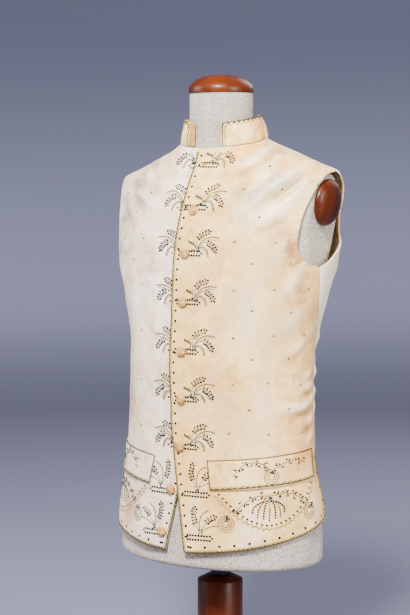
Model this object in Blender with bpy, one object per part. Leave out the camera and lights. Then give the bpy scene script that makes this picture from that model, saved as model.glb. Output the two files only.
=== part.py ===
"""Embroidered waistcoat of the 1790s on a limbless dress form. Metres, +Z up, front towards -Y, wearer's left +X.

The origin is on the floor, at the middle of the stand's underside. The cloth follows stacked
sections: a turn of 0 degrees is the centre front, 90 the wearer's left side and 180 the centre
back, and a rise is a height above the lower edge of the form's torso. Tables are in millimetres.
"""

import math

import bmesh
import bpy
import numpy as np
from mathutils import Matrix, Vector

MM = 0.001

# ---- Driving sizes, in millimetres ----
FORM_FLOOR = 260.0      # where rises are counted from, above the floor
FORM_FOOT = 8.0         # rise of the torso's lower edge
WALL = 1.5              # a waistcoat panel: satin, interlining and lining in one
LINING_WALL = 1.0
PLY_GAP = 0.6           # between two layers sewn one on the other
SEAM_GAP = 0.2          # degrees of turn left open at a seam, about 0.5 mm
LAP_DIP = 2.7           # the under front lies this much deeper inside the lap
FLAP_LIFT = 1.2
FLAP_WALL = 1.5
BUTTON_RADIUS = 8.0
BUTTON_HEIGHT = 6.5
ARM_PLATE = 174.5       # half the distance between the form's two flat arm plates, at the caps' middle
ARM_PLATE_LEAN = math.radians(6.6)  # the plates lean out towards their tops
ARM_CAP_RADIUS = 35.5
ARM_CAP_PLACE = (22.0, 560.0)   # y and rise of its middle
NECK_TOP = 726.0
NECK_RADIUS = 49.0
COLUMN_RADIUS = 35.5
BASE_RADIUS = 150.0
BASE_HEIGHT = 24.0

# Outer face of the waistcoat: half width, reach in front of and behind the neck's axis, and
# where the section is widest, for each rise.
COAT = (
    # rise, half, front, back, middle
    (20, 174.5, 129, 134, 2),
    (60, 173.5, 126, 132, 3),
    (92, 171, 122, 128, 4),
    (124, 166, 119, 120, 1),
    (156, 160, 115, 113, 0),
    (187, 158, 112, 112, 0),
    (250, 155, 111, 114, 1),
    (313, 153, 114, 121, 5),
    (344, 154.5, 112, 125, 8),
    (376, 161.5, 109, 126, 10),
    (407, 171, 107, 126, 12),
    (438, 179, 105, 127, 14),
    (469, 186, 103, 131, 17),
    (515, 190.5, 97, 135, 20),
    (560, 193, 83, 128, 22),
    (585, 194, 72, 117, 24),
    (602, 190, 63, 108, 24),
    (616, 158, 55, 100, 22),
    (632, 120, 50, 92, 20),
    (645, 87, 48, 85, 18),
    (655, 66, 47, 80, 17),
)

# Linen torso and neck of the form, clear of the cloth all round.
FORM = (
    # rise, half, front, back, middle
    (FORM_FOOT, 163, 110, 114, 2),
    (FORM_FOOT + 3, 168.5, 116, 120.5, 2),
    (FORM_FOOT + 10, 170.3, 118, 122.5, 2),
    (42, 170.3, 118, 122.5, 2),
    (92, 165, 114.5, 118, 2),
    (156, 154, 108, 107, 0),
    (187, 152, 105, 106, 0),
    (250, 149, 104, 107, 1),
    (313, 146, 106, 114, 4),
    (344, 148, 104, 117, 6),
    (376, 153, 101, 118, 8),
    (438, 166, 96, 120, 12),
    (469, 172, 94, 123, 14),
    (515, 181, 89, 126, 18),
    (545, 187, 81, 124, 20),
    (575, 188, 70, 113, 23),
    (597, 180, 58, 102, 23),
    (611, 150, 50, 94, 21),
    (627, 109, 45, 85, 19),
    (641, 76, 43, 74, 14),
    (655, 56, 43, 60, 7),
    (672, 49.8, 44, 52.5, 3),
    (690, 49, 45.6, 50.6, 2),
    (NECK_TOP, 49, 45.6, 50.6, 2),
)

# ---- Cutting edges: t along the edge from hem to shoulder, turn in degrees, rise ----
# Distance of the centre-front edge from the middle, towards the wearer's left.
FRONT_EDGE = (
    # t, across, rise
    (0.00, 18, 35),
    (0.14, 0, 124),
    (0.24, -13, 192),
    (0.30, -18, 235),
    (0.60, -19, 450),
    (0.71, -14, 555),
    (0.80, -10, 640),
)
FRONT_NECKLINE = (
    # t, turn, rise
    (0.80, -5.8, 640),
    (0.86, 24, 643),
    (0.92, 58, 647),
    (1.00, 97, 655),
)
# The wearer's right front reaches higher beside the neck.
RIGHT_NECKLINE = (
    # t, turn, rise
    (0.80, -5.8, 640),
    (0.86, 24, 645),
    (0.92, 58, 651.5),
    (1.00, 97, 655),
)
BACK_NECKLINE = (
    # t, turn, rise
    (0.80, 180, 655),
    (0.90, 138, 655),
    (1.00, 97, 655),
)
SIDE_SEAM = (
    # t, turn, rise
    (0.00, 97, 74),
    (0.03, 106, 80),
    (0.06, 110, 97),
    (0.18, 108, 200),
    (0.32, 107, 300),
    (0.40, 104, 345),
    (0.46, 95, 382),
    (0.52, 87, 414),
    (0.60, 79, 464),
)
FRONT_ARMHOLE = (
    # t, turn, rise
    (0.60, 79, 464),
    (0.64, 70, 467),
    (0.69, 61, 486),
    (0.74, 59, 506),
    (0.80, 60, 535),
    (0.88, 64, 565),
    (0.93, 68, 585),
    (0.96, 78, 600),
    (1.00, 97, 605),
)
# The right front's armhole is cut less deep.
RIGHT_ARMHOLE = (
    # t, turn, rise
    (0.60, 79, 464),
    (0.64, 72, 467),
    (0.69, 66, 486),
    (0.74, 65, 506),
    (0.80, 65.5, 535),
    (0.88, 68, 565),
    (0.93, 71, 585),
    (0.96, 79, 600),
    (1.00, 97, 605),
)
BACK_ARMHOLE = (
    # t, turn, rise
    (0.60, 79, 464),
    (0.63, 86, 470),
    (0.66, 95, 481),
    (0.70, 106, 493),
    (0.76, 114.5, 509),
    (0.84, 118, 545),
    (0.93, 111, 585),
    (1.00, 97, 605),
)
# The wearer's-left front is pieced out with a narrow strip at the shoulder.
PIECING_SEAM = (
    # t, turn, rise
    (0.93, 68, 585),
    (0.95, 68.5, 596),
    (0.965, 71, 605),
    (0.985, 85, 614),
    (1.00, 97, 619),
)
BACK_HEM_RISE = 58.0
BACK_HEM_SIDE = (110, 72)

# Standing collar: each row of the table is a place round the neck.
COLLAR = (
    # turn, height, lean towards the neck at its top edge; the wearer's right is in the second table
    (19.5, 36, 1.5),
    (60, 37, 4),
    (90, 36, 8),
    (135, 35, 15),
    (180, 34, 18),
)
RIGHT_COLLAR = (
    # turn, height, lean
    (11, 37, 1.5),
    (19.5, 37, 2),
    (60, 36.5, 8),
    (90, 36.5, 9),
    (135, 35, 14),
    (180, 34, 18),
)

FLAP_CORNERS = {
    # turn, rise
    "front_top": (17.5, 174), "back_top": (93.5, 188),
    "front_low": (19.5, 131), "back_low": (93.5, 145),
}

BUTTONS = (
    # across, rise, side of the front it shows on
    (9, 548, 1),
    (3, 484, 1),
    (3, 411, 1),
    (4, 337, 1),
    (3, 265, 1),
    (1, 193, 1),
    (-13, 127, -1),
    (-26, 62, -1),
)

COLOURS = {
    "satin": (0.80, 0.70, 0.55), "back_linen": (0.74, 0.70, 0.62), "lining": (0.34, 0.20, 0.08),
    "form_linen": (0.62, 0.58, 0.52), "mahogany": (0.16, 0.025, 0.008), "dark_steel": (0.12, 0.12, 0.12),
    "silk_button": (0.72, 0.50, 0.26),
}


def smooth_rows(table, place):
    """The table's columns read at `place`, its first column, on a curve that doesn't overshoot."""
    table = np.asarray(table, float)
    knots, values = table[:, 0], table[:, 1:]
    spans = np.diff(knots)[:, None]
    slopes = np.diff(values, axis=0) / spans
    tangents = np.vstack([slopes[:1], slopes[:1].repeat(len(knots) - 2, axis=0) * 0, slopes[-1:]])
    before, after = slopes[:-1], slopes[1:]
    mean = (before * spans[1:] + after * spans[:-1]) / (spans[1:] + spans[:-1])
    limit = 2 * np.minimum(abs(before), abs(after))
    tangents[1:-1] = np.where(before * after > 0, np.sign(before) * np.minimum(abs(mean), limit), 0)
    place = np.clip(np.asarray(place, float), knots[0], knots[-1])
    i = np.clip(np.searchsorted(knots, place, side="right") - 1, 0, len(knots) - 2)
    width = knots[i + 1] - knots[i]
    s = ((place - knots[i]) / width)[..., None]
    width = width[..., None]
    return (values[i] * (2 * s**3 - 3 * s**2 + 1) + tangents[i] * width * (s**3 - 2 * s**2 + s)
            + values[i + 1] * (3 * s**2 - 2 * s**3) + tangents[i + 1] * width * (s**3 - s**2))


def on_section(table, turn, rise):
    """Points on the stacked sections, in millimetres, z being the rise."""
    turn, rise = np.broadcast_arrays(np.radians(turn), np.asarray(rise, float))
    half, front, back, middle = np.moveaxis(smooth_rows(table, rise), -1, 0)
    along = np.cos(turn)
    reach = np.where(along > 0, front + middle, back - middle)
    return np.stack([half * np.sin(turn), middle - reach * along, rise], axis=-1)


def outward(table, turn, rise):
    """Unit normals of the sections' skin."""
    low, high = table[0][0] + 1.0, table[-1][0] - 1.0
    rise = np.clip(rise, low, high)
    round_it = on_section(table, turn + 0.5, rise) - on_section(table, turn - 0.5, rise)
    up_it = on_section(table, turn, rise + 1) - on_section(table, turn, rise - 1)
    normal = np.cross(round_it, up_it)
    return normal / np.linalg.norm(normal, axis=-1, keepdims=True)


def flare(turn, rise):
    """How far the back's armhole edge stands off: once beside the arm cap, once below it."""
    along = 5.5 * np.exp(-((rise - 572) / 30) ** 2) + 3.5 * np.exp(-((rise - 495) / 13) ** 2)
    return along * np.exp(-((turn - 116) / 11) ** 2)


def sway(x, rise):
    """How much the shoulders are out of level: the wearer's left one is the higher."""
    side = np.clip((abs(x) - 32) / 66, 0, 1)
    side = np.sign(x) * side * side * (3 - 2 * side)
    up = np.clip((rise - 540) / 60, 0, 1)
    return (4.5 * side - 1.6 * abs(side)) * up * up * (3 - 2 * up) * np.clip((675 - rise) / 20, 0, 1)


def coat_skin(turn, rise, out=0.0):
    """Points on the waistcoat's outer face, moved out by `out`, with z from the floor."""
    turn, rise = np.asarray(turn, float), np.asarray(rise, float)
    out = np.asarray(out, float) + flare(turn, rise)
    points = on_section(COAT, turn, rise) + outward(COAT, turn, rise) * out[..., None]
    return points + (0, 0, FORM_FLOOR)


def turn_at(across, rise):
    """The turn of a front point that lies `across` millimetres from the middle."""
    half = smooth_rows(COAT, rise)[..., 0]
    return np.degrees(np.arcsin(across / half))


def edge(*tables):
    """A function from t to (turn, rise) along tables joined end to end."""
    def at(t):
        for table in tables:
            if t <= table[-1][0] + 1e-9:
                return tuple(smooth_rows(table, t))
        return tuple(smooth_rows(tables[-1], t))
    return at


def front_edge(t, neckline=FRONT_NECKLINE):
    """The centre-front edge up to the neck, then the neckline."""
    if t <= FRONT_EDGE[-1][0] + 1e-9:
        across, rise = smooth_rows(FRONT_EDGE, t)
        return float(turn_at(across, rise)), rise
    return tuple(smooth_rows(neckline, t))


def add_object(name, bm, colour):
    mesh = bpy.data.meshes.new(name)
    bm.to_mesh(mesh)
    bm.free()
    material = bpy.data.materials.new(name)
    material.use_nodes = True
    shader = material.node_tree.nodes["Principled BSDF"]
    shader.inputs["Base Color"].default_value = (*COLOURS[colour], 1.0)
    shader.inputs["Roughness"].default_value = 0.3 if colour in ("mahogany", "dark_steel") else 0.75
    shader.inputs["Metallic"].default_value = 1.0 if colour == "dark_steel" else 0.0
    mesh.materials.append(material)
    mesh.shade_smooth()
    mesh.set_sharp_from_angle(angle=math.radians(40))
    obj = bpy.data.objects.new(name, mesh)
    bpy.context.scene.collection.objects.link(obj)
    return obj


def wall_between(name, outer, inner, colour, mirrored=False):
    """A closed wall from two grids of points in millimetres, its outer face and its inner face."""
    bm = bmesh.new()
    flip = np.array((-1.0 if mirrored else 1.0, 1.0, 1.0))
    rows, columns = outer.shape[:2]
    faces = [[[bm.verts.new(Vector(grid[i, j] * flip * MM)) for j in range(columns)]
              for i in range(rows)] for grid in (outer, inner)]
    for side, verts in enumerate(faces):
        for i in range(rows - 1):
            for j in range(columns - 1):
                # Both faces are cut along the same diagonal, so that they can't cross.
                a, b, c, d = verts[i][j], verts[i][j + 1], verts[i + 1][j + 1], verts[i + 1][j]
                for half in ((a, b, c), (a, c, d)):
                    bm.faces.new(half if side == 0 else half[::-1])
    rim = ([(0, j) for j in range(columns)] + [(i, columns - 1) for i in range(1, rows)]
           + [(rows - 1, j) for j in range(columns - 2, -1, -1)] + [(i, 0) for i in range(rows - 2, 0, -1)])
    for (i, j), (k, m) in zip(rim, rim[1:] + rim[:1]):
        bm.faces.new((faces[0][i][j], faces[1][i][j], faces[1][k][m], faces[0][k][m]))
    bmesh.ops.recalc_face_normals(bm, faces=bm.faces)
    return add_object(name, bm, colour)


def ruled(inner, outer, ts, columns):
    """Turn and rise of a grid whose rows run from one cutting edge to the other, level at first."""
    a = np.array([inner(t) for t in ts])
    b = np.array([outer(t) for t in ts])
    s = np.linspace(0, 1, columns + 1)[None, :]
    fall = s ** 1.4
    turn = a[:, :1] * (1 - s) + b[:, :1] * s
    return turn, a[:, 1:] * (1 - fall) + b[:, 1:] * fall


def panel(name, inner, outer, ts, columns, colour, out=0.0, wall=WALL, mirrored=False, dip=None, keep=None):
    """A panel between two cutting edges. `keep` is the corner of its grid that a lining under it takes."""
    turn, rise = ruled(inner, outer, ts, columns)
    if keep is not None:
        turn, rise = turn[keep], rise[keep]
    lift = np.full(turn.shape, float(out))
    if dip is not None:
        lift -= dip(turn, rise)
    faces = [coat_skin(turn, rise, lift), coat_skin(turn, rise, lift - wall)]
    for points in faces:
        points[..., 2] += sway(points[..., 0] * (-1 if mirrored else 1), points[..., 2] - FORM_FLOOR)
    return wall_between(name, *faces, colour, mirrored)


def lap_dip(turn, rise):
    """How much deeper the under front lies near its edge, where the other front covers it."""
    across = on_section(COAT, turn, rise)[..., 0]
    s = np.clip((56 - across) / 28, 0, 1)
    return LAP_DIP * s * s * (3 - 2 * s)


def shifted(run, turn=0.0, rise=0.0):
    """The same cutting edge moved by a seam's gap."""
    return lambda t: (run(t)[0] + turn, run(t)[1] + rise)


FRONT_COLUMNS, BACK_COLUMNS = 16, 11
UNDERARM = SIDE_SEAM[-1][0]
FRONT_ROWS = [UNDERARM * i / 15 for i in range(15)] + [UNDERARM + (1 - UNDERARM) * i / 14 for i in range(15)]
BACK_ROWS = sorted(FRONT_ROWS[:15] + [UNDERARM + (1 - UNDERARM) * i / 10 for i in range(11)] + [0.62, 0.66])
SIDE_AND_ARMHOLE = edge(SIDE_SEAM, FRONT_ARMHOLE)


def build_fronts():
    strip_foot = PIECING_SEAM[0][0]
    strip_rows = [strip_foot + (1 - strip_foot) * i / 4 for i in range(5)]
    rows = [t for t in FRONT_ROWS if t < strip_foot] + strip_rows
    pieced = edge(SIDE_SEAM, tuple(row for row in FRONT_ARMHOLE if row[0] <= strip_foot), PIECING_SEAM)
    panel("front_left", front_edge, pieced, rows, FRONT_COLUMNS, "satin")

    def strip_armhole(t):
        turn, rise = SIDE_AND_ARMHOLE(t)
        return turn + 0.8 * (1 - t) / (1 - strip_foot), rise

    panel("front_left_piecing", lambda t: (edge(PIECING_SEAM)(t)[0] + 1.5 * SEAM_GAP * (1 - t) / (1 - strip_foot),
                                           edge(PIECING_SEAM)(t)[1] - 0.4 * (t > 0.99)),
          strip_armhole, strip_rows, 3, "satin")
    panel("front_right", lambda t: front_edge(t, RIGHT_NECKLINE), edge(SIDE_SEAM, RIGHT_ARMHOLE), FRONT_ROWS,
          FRONT_COLUMNS, "satin", mirrored=True, dip=lap_dip)


def build_skirt_linings():
    """A narrow strip of the lining that shows just under each front's hem."""
    def lowered(run, turn):
        return lambda t: (run(t)[0] + turn, run(t)[1] - (1.5 if t == 0 else 0))

    for name, mirrored, dip in (("left", False, None), ("right", True, lap_dip)):
        panel("skirt_lining_" + name, lowered(front_edge, 1.0), lowered(edge(SIDE_SEAM), -1.0), FRONT_ROWS,
              FRONT_COLUMNS, "lining", out=-WALL - PLY_GAP, wall=LINING_WALL, mirrored=mirrored, dip=dip, keep=np.s_[0:2, :])


def back_inner(t):
    """The centre back up to the neck, then the back neckline."""
    top = BACK_NECKLINE[0]
    if t <= top[0] + 1e-9:
        return 180 - SEAM_GAP / 2, BACK_HEM_RISE + (top[2] - BACK_HEM_RISE) * t / top[0]
    return tuple(smooth_rows(BACK_NECKLINE, t) - (SEAM_GAP / 2 if t < 0.85 else 0, 0))


def back_side(t):
    """The back's side edge: it keeps a full square corner at the hem, behind the front's round one."""
    vent = SIDE_SEAM[2]
    if t < vent[0]:
        turn, rise = BACK_HEM_SIDE
        return turn, rise + (vent[2] - rise) * t / vent[0]
    return edge(SIDE_SEAM, BACK_ARMHOLE)(t)


def build_backs():
    for name, mirrored in (("left", False), ("right", True)):
        panel("back_" + name, shifted(back_side, 1.5 * SEAM_GAP), back_inner, BACK_ROWS, BACK_COLUMNS, "back_linen",
              mirrored=mirrored)
        panel("armhole_facing_" + name, shifted(back_side, 1.5 * SEAM_GAP), back_inner, BACK_ROWS, BACK_COLUMNS, "lining",
              out=-WALL - PLY_GAP, wall=LINING_WALL, mirrored=mirrored, keep=np.s_[16:27, 0:3])


def collar_wall(name, colour, inset, wall, turns):
    """A standing band: it starts on the neckline and leans in towards the neck."""
    turns = np.asarray(turns, float)
    around = abs(turns)
    base = np.array([front_or_back_neckline(turn) for turn in turns])
    height, lean = np.moveaxis(np.where(turns[:, None] < 0, smooth_rows(RIGHT_COLLAR, around),
                                        smooth_rows(COLLAR, around)), -1, 0)
    beyond = 1.5 * np.clip((turns + COLLAR[0][0]) / 5, 0, 1) * (turns < 0)
    steep = np.where(turns < 0, 1 - 0.4 * np.clip((180 - around) / 60, 0, 1), 1)
    faces = []
    for depth in (inset, inset + wall):
        rings = []
        for share in np.linspace(0, 1, 4):
            foot = on_section(COAT, turns, base)
            centre = np.array((0.0, 4.0, 0.0))
            flat = foot - centre
            flat[:, 2] = 0
            inward = -flat / np.linalg.norm(flat, axis=1, keepdims=True)
            pull = depth - beyond + lean * (share**steep - 0.12 * math.sin(math.pi * share))
            ring = foot + inward * pull[:, None]
            ring[:, 2] = base + 0.7 + height * share + sway(foot[:, 0], base) + FORM_FLOOR
            rings.append(ring)
        faces.append(np.array(rings))
    return wall_between(name, faces[0], faces[1], colour)


def front_or_back_neckline(turn):
    """Rise of the neckline at a signed turn from the centre front."""
    front = RIGHT_NECKLINE if turn < 0 else FRONT_NECKLINE
    table = np.array([row[1:] for row in front + BACK_NECKLINE[::-1][1:]])
    return float(np.interp(abs(turn), table[:, 0], table[:, 1]))


def build_collar():
    ends = COLLAR[0][0]
    turns = np.linspace(ends, 360 - ends, 31)
    turns = np.where(turns > 180, turns - 360, turns)
    collar_wall("collar", "satin", 0.0, WALL, turns)
    # On the wearer's right the lining runs on towards the front beyond the satin's end.
    past = np.linspace(-ends, -RIGHT_COLLAR[0][0], 4)[1:]
    collar_wall("collar_lining", "lining", WALL + PLY_GAP, LINING_WALL, np.concatenate([turns, past]))


def build_flaps():
    corner = FLAP_CORNERS
    front = edge(((0,) + corner["front_low"], (1,) + corner["front_top"]))
    back = edge(((0,) + corner["back_low"], (1,) + corner["back_top"]))
    for name, mirrored in (("left", False), ("right", True)):
        panel("pocket_flap_" + name, front, back, [0, 0.33, 0.67, 1], 14, "satin",
              out=FLAP_LIFT + FLAP_WALL, wall=FLAP_WALL, mirrored=mirrored)


def turned(name, profile, colour, steps=32, place=Matrix()):
    """A turned piece: (radius, height) pairs, in millimetres, spun about Z, then put in place."""
    bm = bmesh.new()
    verts = [bm.verts.new((r * MM, 0, z * MM)) for r, z in profile]
    edges = [bm.edges.new(pair) for pair in zip(verts, verts[1:])]
    bmesh.ops.spin(bm, geom=verts + edges, cent=(0, 0, 0), axis=(0, 0, 1), angle=2 * math.pi,
                   steps=steps, use_merge=True)
    bmesh.ops.remove_doubles(bm, verts=bm.verts, dist=1e-6)
    bmesh.ops.recalc_face_normals(bm, faces=bm.faces)
    bmesh.ops.transform(bm, matrix=place, verts=bm.verts)
    return add_object(name, bm, colour)


def dome(radius, height, steps, rim=0.8):
    """Profile of a flat-bottomed dome that starts with a short upright rim."""
    profile = [(0.0, 0.0), (radius - 0.4, 0.0), (radius, 0.4)]
    for i in range(steps + 1):
        angle = math.pi / 2 * i / steps
        profile.append((radius * math.cos(angle), rim + (height - rim) * math.sin(angle)))
    profile[-1] = (0.0, height)
    return profile


def build_buttons():
    for i, (across, rise, side) in enumerate(BUTTONS):
        turn = turn_at(across, rise)
        seat = 0.6 if side > 0 else 0.6 - float(lap_dip(-turn, rise))
        foot = coat_skin(turn, rise, seat) * MM
        normal = Vector(outward(COAT, turn, rise))
        place = Matrix.Translation(Vector(foot)) @ normal.to_track_quat("Z", "Y").to_matrix().to_4x4()
        turned(f"button_{i + 1}", dome(BUTTON_RADIUS, BUTTON_HEIGHT, 4), "silk_button", 14, place)


def build_torso():
    """Linen-covered torso and neck, cut flat where the arms would start."""
    rises = [row[0] for row in FORM]
    rises = sorted(rises + [40, 66, 124, 220, 280, 407, 492, 530, 560, 588, 604, 619, 634, 648, 663])
    turns = np.arange(0, 360, 10.0)
    bm = bmesh.new()
    rings = []
    for rise in rises:
        points = on_section(FORM, turns, rise)
        points[:, 2] += sway(points[:, 0], rise)
        height = np.clip(points[:, 2], 515, 604) - ARM_CAP_PLACE[1]
        plate = ARM_PLATE + math.tan(ARM_PLATE_LEAN) * height
        points[:, 0] = np.clip(points[:, 0], -plate, plate)
        rings.append([bm.verts.new(Vector((x * MM, y * MM, (z + FORM_FLOOR) * MM))) for x, y, z in points])
    for low, high in zip(rings, rings[1:]):
        for j in range(len(turns)):
            k = (j + 1) % len(turns)
            bm.faces.new((low[j], low[k], high[k], high[j]))
    bm.faces.new(rings[0][::-1])
    bm.faces.new(rings[-1])
    bmesh.ops.recalc_face_normals(bm, faces=bm.faces)
    add_object("form_torso", bm, "form_linen")


def build_stand():
    seat = FORM_FLOOR
    neck = Matrix.Translation((0, 2 * MM, (seat + NECK_TOP + 0.3) * MM))
    turned("neck_cap", dome(NECK_RADIUS + 1.1, 28.5, 5, rim=4), "mahogany", 36, neck)
    y, rise = ARM_CAP_PLACE
    for name, side in (("left", 1), ("right", -1)):
        place = Matrix.Translation((side * (ARM_PLATE + 0.35) * MM, y * MM, (seat + rise) * MM))
        turned("arm_cap_" + name, dome(ARM_CAP_RADIUS, 16, 4, rim=2), "mahogany", 30,
               place @ Matrix.Rotation(side * (math.pi / 2 + ARM_PLATE_LEAN), 4, "Y"))
    foot = seat + FORM_FOOT - 0.3
    turned("stand_socket", [(0, seat - 23.2), (15, seat - 23.2), (15, foot - 5), (24, foot - 5), (24, foot),
                            (0, foot)], "dark_steel", 28)
    turned("stand_column", [(0, BASE_HEIGHT + 0.3), (COLUMN_RADIUS, BASE_HEIGHT + 0.3),
                            (COLUMN_RADIUS, seat - 32), (18.5, seat - 23.5), (0, seat - 23.5)], "mahogany", 40)
    turned("stand_base", [(0, 0), (BASE_RADIUS - 3, 0), (BASE_RADIUS, 3), (BASE_RADIUS, 13),
                          (BASE_RADIUS - 4, 18), (BASE_RADIUS - 14, 21), (60, BASE_HEIGHT), (0, BASE_HEIGHT)],
           "mahogany", 44)


def main():
    for obj in list(bpy.data.objects):
        bpy.data.objects.remove(obj, do_unlink=True)
    build_torso()
    build_stand()
    build_fronts()
    build_skirt_linings()
    build_backs()
    build_collar()
    build_flaps()
    build_buttons()


main()
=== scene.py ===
"""Looks of an embroidered waistcoat on a linen dress form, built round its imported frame.

Metres, +Z up, front towards -Y, wearer's left +X. Tables are in millimetres: a turn is the angle
round the body from the centre front, a rise is a height above the torso's lower edge, and across
is the distance along the cloth from the centre front.
"""

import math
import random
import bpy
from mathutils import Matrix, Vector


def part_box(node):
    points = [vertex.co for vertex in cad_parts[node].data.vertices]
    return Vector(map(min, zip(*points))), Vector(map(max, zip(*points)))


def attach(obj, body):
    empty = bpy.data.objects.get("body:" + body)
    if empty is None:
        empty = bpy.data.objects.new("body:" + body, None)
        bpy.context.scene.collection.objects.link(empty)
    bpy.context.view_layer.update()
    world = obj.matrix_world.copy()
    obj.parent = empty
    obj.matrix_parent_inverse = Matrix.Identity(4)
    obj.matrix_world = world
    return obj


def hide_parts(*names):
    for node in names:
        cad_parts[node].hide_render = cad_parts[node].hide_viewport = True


bl_info = {
    "name": "Embroidered Waistcoat",
    "version": (1, 0, 0),
    "blender": (4, 5, 0),
    "location": "3D View > Sidebar > Waistcoat",
    "description": "Silk waistcoat with bead and silk embroidery, worn by a dress form",
    "category": "Object",
}

import bmesh
import bpy
import numpy as np
from bpy.props import FloatProperty, FloatVectorProperty, PointerProperty
from mathutils import Matrix, Vector

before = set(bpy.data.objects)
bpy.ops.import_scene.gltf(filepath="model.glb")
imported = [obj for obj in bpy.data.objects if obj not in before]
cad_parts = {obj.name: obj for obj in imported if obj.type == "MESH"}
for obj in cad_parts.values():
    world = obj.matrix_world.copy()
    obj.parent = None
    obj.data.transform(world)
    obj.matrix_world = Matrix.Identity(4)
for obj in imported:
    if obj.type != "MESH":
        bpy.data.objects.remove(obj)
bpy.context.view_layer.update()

MM = 0.001
FORM_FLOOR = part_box("form_torso")[0][2] / MM - 8.0

# ---------------------------------------------------------------- the body and the cutting edges

# Outer face of the waistcoat.
COAT = (
    # rise, half, front, back, middle
    (20, 174.5, 129, 134, 2), (60, 173.5, 126, 132, 3), (92, 171, 122, 128, 4), (124, 166, 119, 120, 1),
    (156, 160, 115, 113, 0), (187, 158, 112, 112, 0), (250, 155, 111, 114, 1), (313, 153, 114, 121, 5),
    (344, 154.5, 112, 125, 8), (376, 161.5, 109, 126, 10), (407, 171, 107, 126, 12), (438, 179, 105, 127, 14),
    (469, 186, 103, 131, 17), (515, 190.5, 97, 135, 20), (560, 193, 83, 128, 22), (585, 194, 72, 117, 24),
    (602, 190, 63, 108, 24), (616, 158, 55, 100, 22), (632, 120, 50, 92, 20), (645, 87, 48, 85, 18),
    (655, 66, 47, 80, 17),
)
# Linen torso and neck.
FORM = (
    # rise, half, front, back, middle
    (8, 163, 110, 114, 2), (11, 168.5, 116, 120.5, 2), (18, 170.3, 118, 122.5, 2), (42, 170.3, 118, 122.5, 2),
    (92, 165, 114.5, 118, 2),
    (156, 154, 108, 107, 0), (187, 152, 105, 106, 0), (250, 149, 104, 107, 1), (313, 146, 106, 114, 4),
    (344, 148, 104, 117, 6), (376, 153, 101, 118, 8), (438, 166, 96, 120, 12), (469, 172, 94, 123, 14),
    (515, 181, 89, 126, 18), (545, 187, 81, 124, 20), (575, 188, 70, 113, 23), (597, 180, 58, 102, 23),
    (611, 150, 50, 94, 21), (627, 109, 45, 85, 19), (641, 76, 43, 74, 14), (655, 56, 43, 60, 7),
    (672, 49.8, 44, 52.5, 3), (690, 49, 45.6, 50.6, 2), (726, 49, 45.6, 50.6, 2),
)
FRONT_EDGE = (
    # t, across, rise
    (0.00, 18, 35), (0.14, 0, 124), (0.24, -13, 192), (0.30, -18, 235), (0.60, -19, 450), (0.71, -14, 555),
    (0.80, -10, 640),
)
FRONT_NECKLINE = (
    # t, turn, rise
    (0.80, -5.8, 640), (0.86, 24, 643), (0.92, 58, 647), (1.00, 97, 655),
)
RIGHT_NECKLINE = (
    # The wearer's right front reaches higher beside the neck.
    (0.80, -5.8, 640), (0.86, 24, 645), (0.92, 58, 651.5), (1.00, 97, 655),
)
BACK_NECKLINE = ((0.80, 180, 655), (0.90, 138, 655), (1.00, 97, 655))
SIDE_SEAM = (
    # t, turn, rise
    (0.00, 97, 74), (0.03, 106, 80), (0.06, 110, 97), (0.18, 108, 200), (0.32, 107, 300), (0.40, 104, 345),
    (0.46, 95, 382), (0.52, 87, 414), (0.60, 79, 464),
)
FRONT_ARMHOLE = (
    # t, turn, rise
    (0.60, 79, 464), (0.64, 70, 467), (0.69, 61, 486), (0.74, 59, 506), (0.80, 60, 535), (0.88, 64, 565),
    (0.93, 68, 585), (0.96, 78, 600), (1.00, 97, 605),
)
BACK_ARMHOLE = (
    # t, turn, rise
    (0.60, 79, 464), (0.63, 86, 470), (0.66, 95, 481), (0.70, 106, 493), (0.76, 114.5, 509), (0.84, 118, 545),
    (0.93, 111, 585), (1.00, 97, 605),
)
RIGHT_ARMHOLE = (
    # t, turn, rise
    (0.60, 79, 464), (0.64, 72, 467), (0.69, 66, 486), (0.74, 65, 506), (0.80, 65.5, 535), (0.88, 68, 565),
    (0.93, 71, 585), (0.96, 79, 600), (1.00, 97, 605),
)
PIECING_SEAM = ((0.93, 68, 585), (0.95, 68.5, 596), (0.965, 71, 605), (0.985, 85, 614), (1.00, 97, 619))
BACK_HEM_RISE = 58.0
BACK_HEM_SIDE = (110, 72)
COLLAR = (
    # turn, height, lean
    (19.5, 36, 1.5), (60, 37, 4), (90, 36, 8), (135, 35, 15), (180, 34, 18),
)
RIGHT_COLLAR = (
    # turn, height, lean; the lining starts ahead of the satin
    (11, 37, 1.5), (19.5, 37, 2), (60, 36.5, 8), (90, 36.5, 9), (135, 35, 14), (180, 34, 18),
)
FLAP = {"front_top": (17.5, 174), "back_top": (93.5, 188), "front_low": (19.5, 131), "back_low": (93.5, 145)}
# Thickness of the plies and the gap between them; a lining lies just inside its satin or linen.
WALL, LINING_WALL, PLY_GAP = 1.5, 1.0, 0.6
LINING_OUT = -WALL - PLY_GAP + 0.25
COLLAR_LINING_OUT = -WALL - PLY_GAP + 0.3
# How far the right front dips under the lap, and how far a flap stands on its front.
LAP_DIP, FLAP_OUT = 2.7, 2.7
# The form's flat arm plates: distance from the middle, lean, and their low, middle and high rise.
ARM_PLATE, PLATE_LEAN = 174.5, math.radians(6.6)
PLATE_LOW, PLATE_MIDDLE, PLATE_HIGH = 515, 560, 604
# Rows of cloth hold level at the centre front, then sag or rise towards the side by this power.
ROW_BEND = 1.4
# The skirt lining shows up to this share of each front's edges, and the armhole lining over these.
LINING_TOP = 0.04
FACING_LOW, FACING_HIGH, FACING_REACH = 0.62, 0.96, 0.18


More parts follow.
